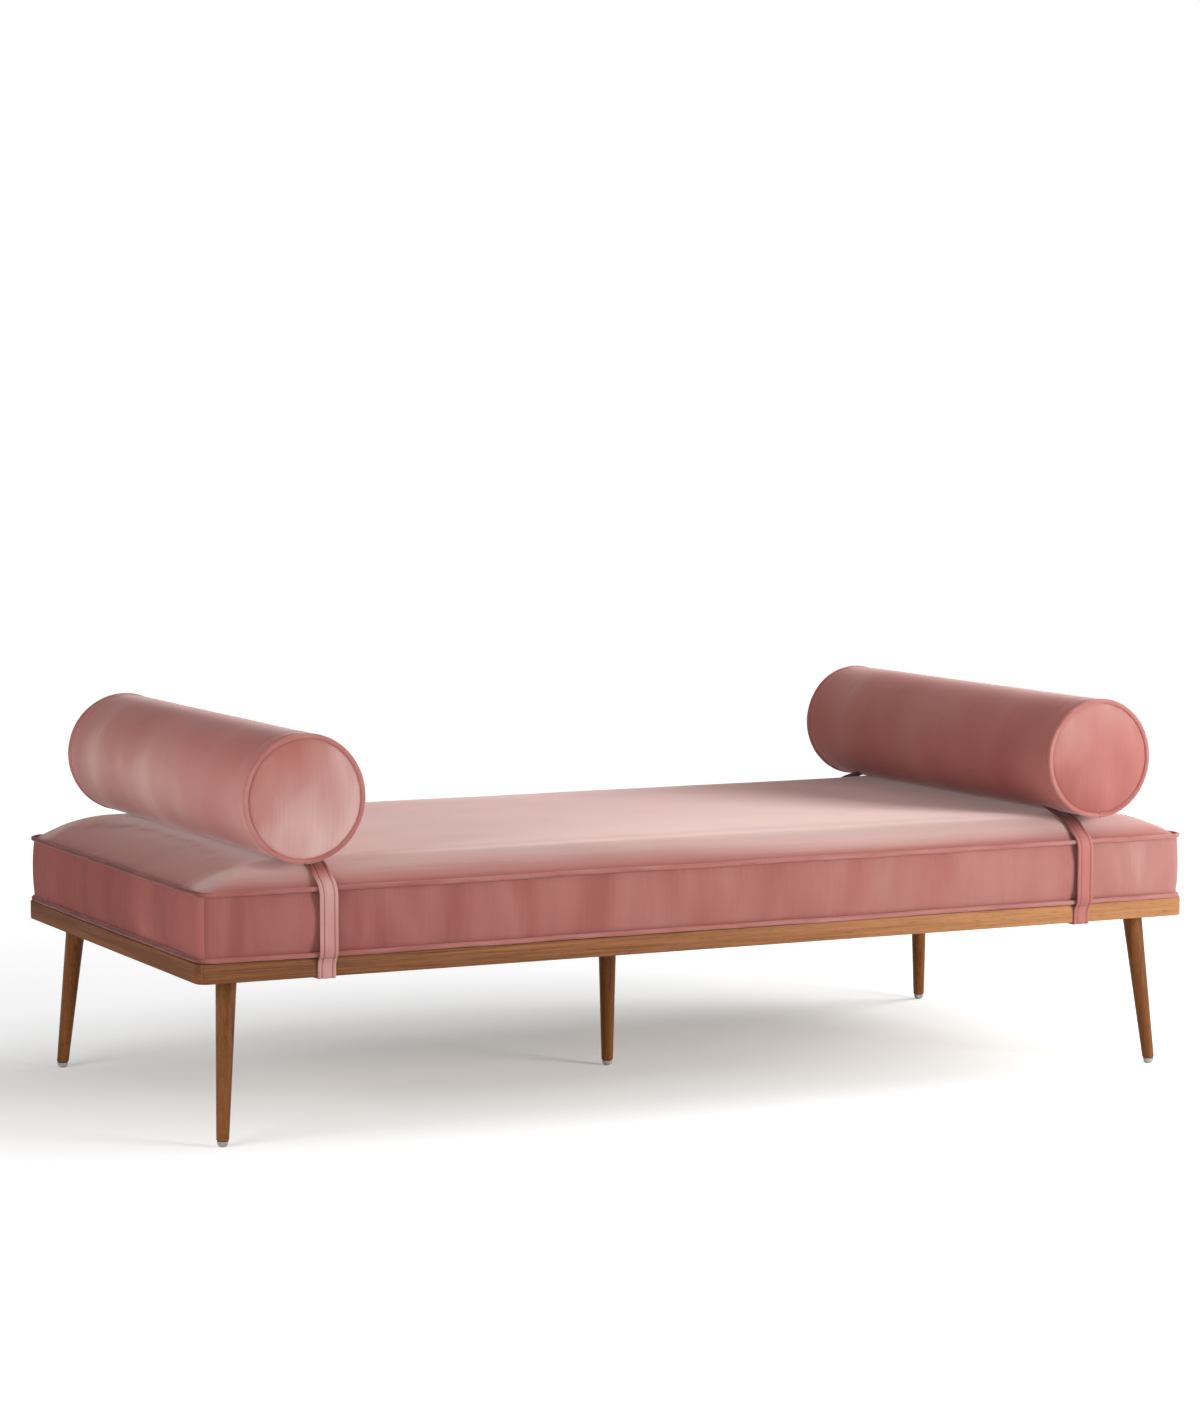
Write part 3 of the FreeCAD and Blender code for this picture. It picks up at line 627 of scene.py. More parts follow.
def cord_ring(name, stations, radius, material, tallness=1.0):
    """A piping cord closed on itself. Stations are (centre, outwards, upwards) round its route."""
    bm = bmesh.new()
    made = bmesh.ops.create_circle(bm, segments=cord_sides, radius=0.1)
    bmesh.ops.rotate(bm, verts=made["verts"], cent=(0, 0, 0),
                     matrix=Vector((0, 0, 1)).rotation_difference(Vector((0, 1, 0))).to_matrix())
    bmesh.ops.translate(bm, verts=made["verts"], vec=(1, 0, 0))
    bmesh.ops.spin(bm, geom=bm.verts[:] + bm.edges[:], cent=(0, 0, 0), axis=(0, 0, 1),
                   dvec=(0, 0, 0), angle=2 * math.pi, steps=len(stations), use_merge=True)
    piece = new_piece(name, bm, material)
    ring = points_of(piece)
    turn = np.arctan2(ring[:, 1], ring[:, 0]) / (2 * math.pi)
    index = np.round(turn * len(stations)).astype(int) % len(stations)
    centre, outwards, upwards = (np.array([s[k] for s in stations])[index] for k in range(3))
    out = (np.hypot(ring[:, 0], ring[:, 1]) - 1) * 10
    up = ring[:, 2] * 10 * tallness
    place_points(piece, centre + (outwards * out[:, None] + upwards * up[:, None]) * radius)
    steps = np.array([(Vector(b[0]) - Vector(a[0])).length
                      for a, b in zip(stations, stations[1:] + stations[:1])])
    length = float(steps.sum())
    along = np.concatenate([[0], np.cumsum(steps)[:-1]])[index]
    round_it = np.arctan2(up, out) * radius
    corners = corner_vertices(piece)
    lay_cloth(piece, closed_round(piece, along[corners], length),
              closed_round(piece, round_it[corners], 2 * math.pi * radius))
    turn_outwards(piece)
    return piece


def turn_outwards(piece):
    """Turn a closed mesh the right way round: its signed volume is negative when it is inside out."""
    bm = bmesh.new()
    bm.from_mesh(piece.data)
    if bm.calc_volume(signed=True) < 0:
        piece.data.flip_normals()
    bm.free()


# The mattress cover

def seam_wander(points, seed):
    """How far a seam strays upwards and inwards at points along it."""
    up = noise_at(points, wander_length, seed) + 0.5 * noise_at(points, wander_length / 3, seed + 1)
    inward = noise_at(points, wander_length * 0.7, seed + 2)
    return wander_up * (up - 0.3), wander_in * (inward + 0.4)


def rounded_plan(x, y):
    """Bend the corners of the rectangular plan into quarter circles."""
    u = np.maximum((np.abs(x) - half_length + plan_corner) / plan_corner, 0)
    v = np.maximum((np.abs(y) - half_depth + plan_corner) / plan_corner, 0)
    new_u = np.where(u > 0, u * np.sqrt(1 - v * v / 2), 0)
    new_v = np.where(v > 0, v * np.sqrt(1 - u * u / 2), 0)
    new_x = np.where(u > 0, half_length - plan_corner + plan_corner * new_u, np.abs(x))
    new_y = np.where(v > 0, half_depth - plan_corner + plan_corner * new_v, np.abs(y))
    outwards = np.stack([new_u * np.sign(x), new_v * np.sign(y)], 1)
    size = np.linalg.norm(outwards, axis=1, keepdims=True)
    return new_x * np.sign(x), new_y * np.sign(y), outwards / np.maximum(size, 1e-9)


def shoulder(distance, run):
    """The crown's height at a distance in from the seam: an arc, then level."""
    radius = (run * run + crown_rise * crown_rise) / (2 * crown_rise)
    left = run - np.clip(distance, 0, run)
    return np.sqrt(radius * radius - left * left) - radius + crown_rise


def crown_height(x, y):
    """How far the top rises over its seam, with its shoulders merged at the corners."""
    over_end = 1 - shoulder(half_length - np.abs(x), crown_run_end) / crown_rise
    over_front = 1 - shoulder(half_depth - np.abs(y), crown_run_front) / crown_rise
    power = crown_corner_power
    lost = (over_end ** power + over_front ** power) ** (1 / power)
    return crown_rise * np.maximum(1 - lost, 0)


def near_corner(x, y):
    """From 0 along the sides to 1 at the corners of the plan."""
    away = np.hypot(half_length - np.abs(x), half_depth - np.abs(y))
    return bell(away, corner_reach)


def crowded(share, crowding):
    """Rows from -1 to 1 that stand closer together near both ends."""
    return (1 - crowding) * share + crowding * np.sin(share * math.pi / 2)


def mattress_cover(top_cloth, side_cloth, end_cloth, base_cloth):
    """One closed cover: crowned top, boxing that bulges between its seams, and flat base."""
    piece = new_piece("mattress_cover", cut_block(mattress_rows), top_cloth, side_cloth, end_cloth,
                      base_cloth)
    block = points_of(piece)
    x, y, outwards = rounded_plan(crowded(block[:, 0], 0.5) * half_length,
                                  crowded(block[:, 1], 0.7) * half_depth)
    level = (block[:, 2] + 1) / 2
    on_top = block[:, 2] > 0.999
    on_base = block[:, 2] < -0.999
    on_side = (np.abs(block[:, 0]) > 0.999) | (np.abs(block[:, 1]) > 0.999)
    seam = on_side & (on_top | on_base)

    points = np.stack([x, y, bottom_seam + level * boxing_height], 1)
    fullness = boxing_fullness * (1 - corner_flatness * near_corner(x, y))
    bulge = np.where(on_side, boxing_bulge * fullness * 4 * level * (1 - level), 0)
    points[:, :2] += outwards * bulge[:, None]
    points[on_top & ~seam, 2] += crown_height(x, y)[on_top & ~seam]
    inside = np.minimum(half_length - np.abs(x), half_depth - np.abs(y))
    base_drop = bottom_seam - rail_top
    under = np.clip(1 - inside / base_drop, 0, 1)
    points[on_base, 2] -= (base_drop * np.sqrt(1 - under ** 2))[on_base]
    for here, seed in ((on_top, 1), (on_base, 5)):
        edge = here & seam
        up, inward = seam_wander(points[edge], seed)
        points[edge, 2] += up
        points[edge, :2] -= outwards[edge] * inward[:, None]

    place_points(piece, points)
    held = np.where(on_base | seam, 1.0, 0.0)
    name_faces(piece, block)
    fill_cover(piece, held, 1.0, mattress_unevenness)
    subdivided(piece)
    finish_mattress_cover(piece)
    return piece


def name_faces(piece, block):
    """Top, front and rear, ends, or base: the cloth of each face of the block."""
    centre = np.zeros((len(piece.data.polygons), 3))
    faces = corner_faces(piece)
    np.add.at(centre, faces, block[corner_vertices(piece)])
    centre /= 4
    kind = np.where(centre[:, 2] > 0.999, 0, np.where(centre[:, 2] < -0.999, 3,
                    np.where(np.abs(centre[:, 1]) > 0.999, 1, 2)))
    piece.data.polygons.foreach_set("material_index", kind.astype(np.int32))


def end_painted_shade(points, normals):
    """Painted shade round both ends of the mattress, most at the left one."""
    return np.where(points[:, 0] < 0, left_end_painted_shade, right_end_painted_shade) * normals[:, 0] ** 2


def slot_share(across, along, half_slot):
    """How deep each point lies in a zip's slot, from 0 outside it to 1, with rounded ends."""
    side = 1 - ease((np.abs(across) - zip_slot / 2) / zip_slot_wall)
    end = 1 - ease((np.abs(along) - half_slot) / zip_slot_wall)
    return side * end


def finish_mattress_cover(piece):
    """Gathers beside the seams, the zip's groove, painted shade at the seams and in the groove, and
    painted light and shade over the cover.
    """
    points = points_of(piece)
    normals = normals_of(piece)
    corners = corner_vertices(piece)
    kind = corner_materials(piece)
    seen_from_top = np.zeros(len(points), bool)
    seen_from_top[corners[kind == 0]] = True
    on_side = np.zeros(len(points), bool)
    on_side[corners[(kind == 1) | (kind == 2)]] = True
    plan = np.minimum(half_length - np.abs(points[:, 0]), half_depth - np.abs(points[:, 1]))
    from_seam = np.where(on_side, np.minimum(np.abs(points[:, 2] - top_seam),
                                             np.abs(points[:, 2] - bottom_seam)),
                         np.maximum(plan, 0))
    near = bell(from_seam, gather_reach)
    gathers = noise_at(points, gather_length, 9) * near * ease(from_seam / 0.004)
    waves = noise_at(points * (1, 1, 0.25), mattress_wave_length, 12) * ease(from_seam / 0.03)
    shift = gather_depth * gathers + np.where(on_side, boxing_wave, top_wave) * (waves - 0.5)
    shift[~(seen_from_top | on_side)] = 0
    zip_low, zip_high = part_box("mattress_zip")
    slot = slot_share(points[:, 2] - (zip_low.z + zip_high.z) / 2, points[:, 0],
                      zip_high.x + zip_slot_margin) * (points[:, 1] > half_depth - 0.005)
    points = points + normals * shift[:, None]
    points[:, 1] += slot * (zip_low.y - zip_clearance - points[:, 1])
    place_points(piece, points)
    # Painted shade at the seams and in the zip's groove.
    near_seam = np.where(seen_from_top | on_side, bell(from_seam, mattress_seam_shade_reach), 0)
    mark(piece, "seam", np.maximum(near_seam, slot))
    # Painted light and shade: a paler band on the top's front and rear shoulders, darker beside the left
    # bolster and near the top's edges, and darker ends on the boxing.
    from_side = half_depth - np.abs(points[:, 1])
    on_shoulder = bell(from_side - shoulder_middle, shoulder_spread)
    beside_roll = ease((-points[:, 0] - beside_roll_start) / beside_roll_spread) * (1 - on_shoulder)
    streaks_and_painted_light = shoulder_painted_highlight * on_shoulder + beside_roll_painted_shade * beside_roll
    streaks_and_painted_light += seam_painted_shade * bell(from_seam, seam_painted_shade_reach)
    mark(piece, "painted_light", np.where(on_side, end_painted_shade(points, normals), streaks_and_painted_light))

    x, y, z = points[corners].T
    cut_corner = plan_corner * (2 - math.sqrt(2))
    run = np.where(kind == 1, np.where(y < 0, x, 2 * (half_length + half_depth) - x),
                   np.where(x > 0, half_length + y + half_depth - cut_corner,
                            -half_length - y - half_depth + cut_corner))
    across = np.where(kind == 0, y, np.where(kind == 3, x, run))
    along = np.where(kind == 0, x, np.where(kind == 3, y, z))
    lay_cloth(piece, across, along)


def mattress_piping(name, seam_z, seed, material):
    """Piping round a seam of the mattress, over the seam's own wander."""
    straight_steps = 130
    end_steps = 66
    corner_steps = 9
    route = []
    turned = plan_corner + mattress_pipe_out - piping_sink
    for quarter, (sx, sy, steps) in enumerate(((1, -1, end_steps), (1, 1, straight_steps),
                                               (-1, 1, end_steps), (-1, -1, straight_steps))):
        middle = Vector((sx * (half_length - plan_corner), sy * (half_depth - plan_corner), seam_z))
        first = math.radians(-90 + 90 * quarter)
        for step in range(corner_steps):
            angle = first + math.radians(90) * step / corner_steps
            outwards = Vector((math.cos(angle), math.sin(angle), 0))
            route.append((middle + outwards * turned, outwards))
        angle = first + math.radians(90)
        outwards = Vector((math.cos(angle), math.sin(angle), 0))
        ahead = Vector((-outwards.y, outwards.x, 0))
        run = 2 * ((half_depth if quarter % 2 == 0 else half_length) - plan_corner)
        for step in range(steps):
            route.append((middle + outwards * turned + ahead * run * step / steps, outwards))
    points = np.array([point for point, outwards in route])
    up, inward = seam_wander(points, seed)
    stations = []
    for (point, outwards), rise, sink in zip(route, up, inward):
        sink += piping_corner_sink * near_corner(point.x, point.y)
        centre = point + Vector((0, 0, rise)) - outwards * sink
        stations.append((tuple(centre), tuple(outwards), (0, 0, 1)))
    piece = cord_ring(name, stations, mattress_pipe_radius, material, tallness=piping_tallness)
    cord = points_of(piece)
    normals = normals_of(piece)
    lumps = noise_at(cord, 0.012, seed + 3) * piping_lumps
    place_points(piece, cord + normals * lumps[:, None])
    outwards = rounded_plan(cord[:, 0], cord[:, 1])[2]
    # Painted shade on the piping round the ends, as on the boxing there.
    mark(piece, "painted_light", piping_end_shade_share * end_painted_shade(cord, outwards))
    return piece


# Bolsters

def bolster_places(side):
    """The middle, radius, half length and dome of a bolster's cover, from the frame."""
    low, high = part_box(side + "_bolster_tube")
    disc_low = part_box(side + "_bolster_front_disc")[0]
    radius = (high.x - low.x) / 2
    return (low + high) / 2, radius, (high.y - low.y) / 2, low.y - disc_low.y


def bolster_cover(side, cloth, disc_cloth, seed):
    """A round cover with domed ends, drawn in at its two end seams."""
    middle, radius, half, dome = bolster_places(side)
    dome += disc_swell
    rim = radius - bolster_draw
    profile = []
    for step in range(disc_rows):
        share = crowded(step / disc_rows, 0.3)
        profile.append((rim * share, -half - dome * (1 - share ** disc_dome_power)))
    for step in range(bolster_rows + 1):
        along = float(crowded(2 * step / bolster_rows - 1, 0.25))
        freed = ease((1 - abs(along)) * half / bolster_draw_reach) ** 0.5
        drawn_in = (bolster_draw + bolster_swell) * (1 - freed)
        profile.append((radius + bolster_swell - drawn_in, along * half))
    profile += [(r, -y) for r, y in reversed(profile[:disc_rows])]

    bm = bmesh.new()
    points = [bm.verts.new((0, y, -r)) for r, y in profile]
    edges = [bm.edges.new(pair) for pair in zip(points, points[1:])]
    bmesh.ops.spin(bm, geom=points + edges, cent=(0, 0, 0), axis=(0, 1, 0), dvec=(0, 0, 0),
                   angle=2 * math.pi, steps=bolster_turn_steps, use_merge=True)
    bmesh.ops.remove_doubles(bm, verts=bm.verts, dist=1e-6)
    piece = new_piece(side + "_bolster_cover", bm, cloth, disc_cloth)
    full = points_of(piece)
    from_axis = np.hypot(full[:, 0], full[:, 2])
    from_seam = np.hypot(np.minimum(half - np.abs(full[:, 1]), 0) + np.maximum(rim - from_axis, 0),
                         np.maximum(half - np.abs(full[:, 1]), 0))
    disc_faces(piece, half)
    fill_cover(piece, np.where(from_seam < 0.001, 1.0, 0.0), 1.5, bolster_unevenness)
    subdivided(piece)
    finish_bolster_cover(piece, radius, half, seed)
    place_points(piece, points_of(piece) + np.array(middle))
    return piece


def disc_faces(piece, half):
    """Give the two ends their own cloth."""
    faces = corner_faces(piece)
    counts = np.bincount(faces)
    heights = np.bincount(faces, np.abs(points_of(piece)[corner_vertices(piece), 1])) / counts
    piece.data.polygons.foreach_set("material_index", (heights > half - 1e-4).astype(np.int32))


def finish_bolster_cover(piece, radius, half, seed):
    """Pleats beside the seams, the zip's groove, a level underside, painted shade at the seams and in
    the zip's groove, and painted light and shade over the cover.
    """
    points = points_of(piece)
    normals = normals_of(piece)
    from_axis = np.hypot(points[:, 0], points[:, 2])
    on_disc = np.abs(points[:, 1]) > half - 1e-4
    from_seam = np.where(on_disc, np.maximum(radius - bolster_draw - from_axis, 0),
                         half - np.abs(points[:, 1]))
    turn = np.arctan2(points[:, 0], points[:, 2])
    ring = np.stack([np.cos(turn) * radius, np.sin(turn) * radius, points[:, 1] * 0.3], 1)
    join_side = bell(np.abs(turn) - math.pi, join_pleat_spread)
    pleats = noise_at(ring, pleat_length, seed) * (1 + join_pleats * join_side)
    pleats *= bell(from_seam, pleat_reach) * ease(from_seam / 0.003)
    soft = noise_at(points * (1, 0.6, 1), bolster_wave_length, seed + 4) * ease(from_seam / 0.03)
    shift = pleat_depth * pleats + bolster_wave * (soft - 0.4)
    zip_low, zip_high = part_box(piece.name.replace("cover", "zip"))
    slot = slot_share((turn - bolster_zip_turn) * radius, points[:, 1],
                      (zip_high.y - zip_low.y) / 2 + zip_slot_margin)
    slot[on_disc] = 0
    points = points + normals * shift[:, None]
    reach = np.hypot(points[:, 0], points[:, 2])
    sunk = slot * (radius - zip_slot_depth - reach) / np.maximum(reach, 1e-9)
    points[:, 0] *= 1 + sunk
    points[:, 2] *= 1 + sunk
    rest = -radius + underside_gap
    below = np.minimum(points[:, 2] - rest, 0)
    points[:, 2] = np.maximum(points[:, 2], rest) + below * underside_give
    # Painted shade at the seams and in the zip's groove.
    mark(piece, "seam", np.maximum(bell(from_seam, bolster_seam_shade_reach), slot))
    disc_painted_light, tube_painted_light = bolster_painted_light(piece.name.startswith("left"), *(points / (radius, half, radius)).T)
    mark(piece, "painted_light", np.where(on_disc, disc_painted_light, tube_painted_light))

    corners = corner_vertices(piece)
    on_tube = corner_materials(piece) == 0
    at = points[corners]
    round_it = closed_round(piece, turn[corners] * radius, 2 * math.pi * radius)
    lay_cloth(piece, np.where(on_tube, at[:, 1], at[:, 0]), np.where(on_tube, round_it, at[:, 2]))
    place_points(piece, points)


def bolster_painted_light(is_left, across, back, up):
    """Painted light and shade on the discs and the tube, by the place from -1 to 1 across the bolster:
    the left disc darker at its upper left and paler at its right, the right disc paler towards its top,
    the left tube paler on its lower outer side, and the right tube's lower half darker at the front and
    paler at the back.
    """
    if is_left:
        disc = 0.52 - 0.75 * ease((up - across) / 1.2) + 0.25 * ease(across)
        tube = 0.45 * ease(-across) * ease(0.9 - up) + 0.04
    else:
        disc = 0.14 + 0.52 * up + 0.10 * across
        tube = 0.10 * ease(up) + ease(-up) * (0.25 * ease(back) - 0.10)
    return disc, tube


def bolster_piping(side, seed, material):
    """The two piping rings of a bolster, as one piece."""
    middle, _, half, _ = bolster_places(side)
    low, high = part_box(side + "_bolster_piping")
    cord_radius = (middle.y - half - low.y) * ring_slimness
    ring_radius = (high.x - low.x) / 2 - cord_radius
    rings = []
    for y_side in (-1, 1):
        points = []
        for step in range(ring_steps):
            angle = 2 * math.pi * step / ring_steps
            outwards = Vector((math.cos(angle), 0, math.sin(angle)))
            points.append((middle + Vector((0, y_side * half, 0)) + outwards * ring_radius, outwards))
        places = np.array([p for p, o in points])
        sway = noise_at(places, 0.06, seed + y_side) * ring_sway
        stations = [(tuple(p + Vector((0, s, 0)) + o * s * 0.5), tuple(o), (0, 1, 0))
                    for (p, o), s in zip(points, sway)]
        ring = cord_ring("%s_ring_%d" % (side, y_side), stations, cord_radius, material)
        cord = points_of(ring)
        shift = noise_at(cord, 0.010, seed + 3) * ring_lumps
        from_join = np.abs(cord[:, 0] - middle.x) + 9 * (cord[:, 2] > middle.z)
        shift += ring_join_swell * bell(from_join, ring_join_reach)
        shift -= ring_join_notch * bell(from_join, ring_join_gap)
        place_points(ring, cord + normals_of(ring) * shift[:, None])
        rings.append(ring)
    return joined(side + "_bolster_piping_cord", rings)


def joined(name, pieces):
    """Several pieces as one object."""
    bm = bmesh.new()
    for piece in pieces:
        bm.from_mesh(piece.data)
    whole = add_object(name, mesh_from(name, bm, pieces[0].data.materials))
    for piece in pieces:
        bpy.data.objects.remove(piece)
    return whole


# Straps

def rounded_route(points, radii, step):
    """Points and left-hand directions along a path of (out, up) corners, each corner an arc."""
    route = []

    def add_run(a, b):
        count = max(int((b - a).length / step), 1)
        ahead = (b - a).normalized()
        for index in range(count):
            route.append((a.lerp(b, index / count), Vector((-ahead.y, ahead.x))))

    start = points[0]
    for before, corner, after, radius in zip(points, points[1:], points[2:], radii):
        back = (before - corner).normalized()
        ahead = (after - corner).normalized()
        half_angle = back.angle(ahead) / 2
        reach = radius / math.tan(half_angle)
        arc_start = corner + back * reach
        centre = corner + (back + ahead).normalized() * (radius / math.sin(half_angle))
        add_run(start, arc_start)
        turn = math.pi - 2 * half_angle
        side = 1 if back.cross(ahead) < 0 else -1
        count = max(int(radius * turn / step), 4)
        spoke = arc_start - centre
        for index in range(count):
            angle = side * turn * index / count
            cos, sin = math.cos(angle), math.sin(angle)
            arm = Vector((spoke.x * cos - spoke.y * sin, spoke.x * sin + spoke.y * cos))
            route.append((centre + arm, -arm.normalized() * side))
        start = corner + ahead * reach
    add_run(start, points[-1])
    ahead = (points[-1] - points[-2]).normalized()
    route.append((points[-1], Vector((-ahead.y, ahead.x))))
    return route


def strap_route(lies_below):
    """The strap's inner face from under the bolster to its end below the frame, as (out, up)."""
    run = crown_run_front
    radius = (run * run + crown_rise * crown_rise) / (2 * crown_rise)
    arc = Vector((half_depth - run, crown_top - radius))
    pipe = Vector((half_depth + mattress_pipe_out, top_seam))
    across = pipe - arc
    leave = math.atan2(across.x, across.y) - math.acos((radius - mattress_pipe_radius) / across.length)
    over = radius + strap_gap
    lift = strap_lift_angle
    first = arc + Vector((math.sin(lift), math.cos(lift))) * over
    last = arc + Vector((math.sin(leave), math.cos(leave))) * over
    start = first + Vector((-math.cos(lift), math.sin(lift))) * strap_lift_length
    crest = first + Vector((math.cos(lift), -math.sin(lift))) * over * math.tan((leave - lift) / 2)
    front = half_depth + max(boxing_bulge, mattress_pipe_out + mattress_pipe_radius) + strap_gap
    edge = last + Vector((math.cos(leave), -math.sin(leave))) * ((front - last.x) / math.cos(leave))
    under = rail_bottom - strap_gap
    rail_face = half_depth + strap_gap
    points = [start, crest, edge,
              Vector((front, bottom_seam - strap_front_past_seam)),
              Vector((rail_face, bottom_seam - strap_return_drop)),
              Vector((rail_face, under))]
    radii = [over, strap_edge_bend, strap_rail_bend, strap_rail_bend, rail_rounding + strap_gap]
    half_overlap = strap_overlap / 2
    if lies_below:
        drop = strap_thickness + 2 * closure_thickness
        step_end = half_overlap + strap_overlap_spare
        points += [Vector((step_end + strap_step_run, under)), Vector((step_end, under - drop)),
                   Vector((-half_overlap, under - drop))]
        radii += [strap_bend, strap_bend]
    else:
        points.append(Vector((-half_overlap, under)))
    return rounded_route(points, radii, strap_step)


def strap(side, end, seed, cloth):
    """A velvet strap with a corded band along each edge and a stitched groove beside it."""
    low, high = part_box(side + "_bolster_strap_" + end)
    middle_x = (low.x + high.x) / 2
    y_side = -1 if end == "front" else 1
    route = strap_route(end == "rear")
    mirrored = [(-distance, height) for distance, height in reversed(strap_section[1:])]
    stations, heights = np.array(mirrored + list(strap_section)).T
    bm = cut_block((len(route) - 2, len(stations) - 2, 0))
    piece = new_piece(side + "_bolster_strap_" + end + "_band", bm, cloth)
    block = points_of(piece)
    row = np.round((block[:, 0] + 1) / 2 * (len(route) - 1)).astype(int)
    column = np.round((block[:, 1] + 1) / 2 * (len(stations) - 1)).astype(int)
    place = np.array([tuple(p) for p, n in route])[row]
    normal = np.array([tuple(n) for p, n in route])[row]
    width = stations[column]
    outer = block[:, 2] > 0
    edge = np.abs(width) > strap_edge_start
    height = np.where(outer, strap_thickness + heights[column],
                      np.where(edge, strap_inner_rounding, 0.0))
    flat = place + normal * height[:, None]
    sway = noise_at(np.stack([flat[:, 0], flat[:, 1], flat[:, 0] * 0], 1), 0.12, seed) * strap_sway
    points = np.stack([middle_x + width + sway, y_side * flat[:, 0], flat[:, 1]], 1)
    place_points(piece, points)
    turn_outwards(piece)
    steps = [0.0]
    for (a, _), (b, _) in zip(route, route[1:]):
        steps.append(steps[-1] + (b - a).length)
    corners = corner_vertices(piece)
    lay_cloth(piece, width[corners], np.array(steps)[row][corners])
    # Painted shade in the strap's stitched grooves.
    mark(piece, "seam", bell(np.abs(width) - strap_groove[0], strap_groove_shade_width) * outer)
    # Painted light and shade: the left bolster's straps paler and the right's darker, and a painted
    # shadow where a strap runs under its bolster.
    outside = bell(np.maximum(half_depth - np.abs(points[:, 1]), 0), strap_outside_reach)
    mark(piece, "painted_light", strap_painted_light[side] + strap_under_roll_painted_shade * (1 - outside))
    return piece, route, middle_x, y_side


def strap_stitches(name, band_parts, thread):
    """Two rows of thread, one in each groove of a strap."""
    _, route, middle_x, y_side = band_parts
    one = one_stitch()
    bm = bmesh.new()
    places = []
    travelled = 0.0
    wanted = stitch_spacing
    for (a, n), (b, _) in zip(route, route[1:]):
        step = (b - a).length
        while wanted < travelled + step:
            share = (wanted - travelled) / step
            at = a.lerp(b, share) + n * (strap_thickness + strap_groove[1] + stitch_radius * 0.3)
            ahead = (b - a).normalized()
            slope = math.atan2(ahead.y, y_side * ahead.x)
            for x_side in (-1, 1):
                bm.from_mesh(one)
                place = (middle_x + x_side * strap_groove[0], y_side * at.x, at.y)
                places.append((place, (0, math.cos(slope), math.sin(slope))))
            wanted += stitch_spacing
        travelled += step
    stitches = new_piece(name, bm, thread)
    points = points_of(stitches).reshape(len(places), -1, 3)
    centre = np.array([p for p, a in places])[:, None]
    ahead = np.array([a for p, a in places])[:, None]
    beside = np.cross(ahead, (1, 0, 0))
    points = centre + points[..., :1] * (1, 0, 0) + points[..., 1:2] * beside + points[..., 2:] * ahead
    place_points(stitches, points.reshape(-1, 3))
    bpy.data.meshes.remove(one)
    return stitches


def one_stitch():
    """A stitch of thread along Z, round the origin."""
    bm = bmesh.new()
    bmesh.ops.create_uvsphere(bm, u_segments=6, v_segments=4, radius=1)
    bmesh.ops.scale(bm, verts=bm.verts, vec=(stitch_radius, stitch_radius, stitch_length / 2))
    return mesh_from("stitch", bm)


# Stage, lights and camera

def seen_by(material, *kinds):
    """1 for rays of the two given kinds, and 0 for others."""
    rays = add_node(material, "ShaderNodeLightPath")
    return calculated(material, "MAXIMUM", *(rays.outputs["Is %s Ray" % kind] for kind in kinds))


def stage():
    """A white floor that keeps the divan's shadow and adds a painted shadow where its glow is weaker
    round the divan, and a white world behind it.
    """
    bm = bmesh.new()
    bmesh.ops.create_grid(bm, x_segments=1, y_segments=1, size=30)
    floor_white = finish("floor_white", Roughness=0.9, Specular_IOR_Level=0.0,
                         Base_Color=(0.80, 0.80, 0.80, 1), Emission_Color=(1, 1, 1, 1))
    # The glow grows with distance from a point a little behind the divan's middle: painted shadow round
    # the divan.
    away = add_node(floor_white, "ShaderNodeVectorMath", operation="LENGTH")
    give(floor_white, away.inputs[0], pattern_space(floor_white, "Object", floor_stretch, floor_shift))
    glow = graded_colour(floor_white, between(floor_white, away.outputs["Value"], 0, floor_reach),
                         [(share, (strength, strength, strength, 1)) for share, strength in floor_glow_and_painted_shadow])
    seen = seen_by(floor_white, "Camera", "Glossy")
    to_shader(floor_white, Emission_Strength=calculated(floor_white, "MULTIPLY", seen, glow))
    new_piece("floor", bm, floor_white)

    world = bpy.data.worlds.new("studio")
    scene.world = world
    world.use_nodes = True
    strength = between(world, seen_by(world, "Camera", "Transmission"), 0, 1, world_light, 1.0)
    feed(world, world.node_tree.nodes["Background"], {"Color": (1, 1, 1, 1), "Strength": strength})


def lamp(name, place, aim, size, power):
    """A soft rectangular lamp that points at a place."""
    light = bpy.data.lights.new(name, "AREA")
    light.shape = "RECTANGLE"
    light.size, light.size_y = size
    light.energy = power
    direction = Vector(aim) - Vector(place)
    holder = add_object(name, light, place, direction.to_track_quat("-Z", "Y").to_euler())
    holder.visible_camera = False


def camera():
    """The photograph's view: from the left of the front, a little from above."""
    eye = bpy.data.cameras.new("camera")
    eye.lens = camera_lens
    eye.sensor_width = 36
    angles = (math.radians(90 - camera_down), 0, math.radians(camera_turn))
    scene.camera = add_object("camera", eye, camera_place, angles)


# Putting the pieces together

def refinish(name, material):
    """Give a piece of the frame its material."""
    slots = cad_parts[name].data.materials
    slots.clear()
    slots.append(material)


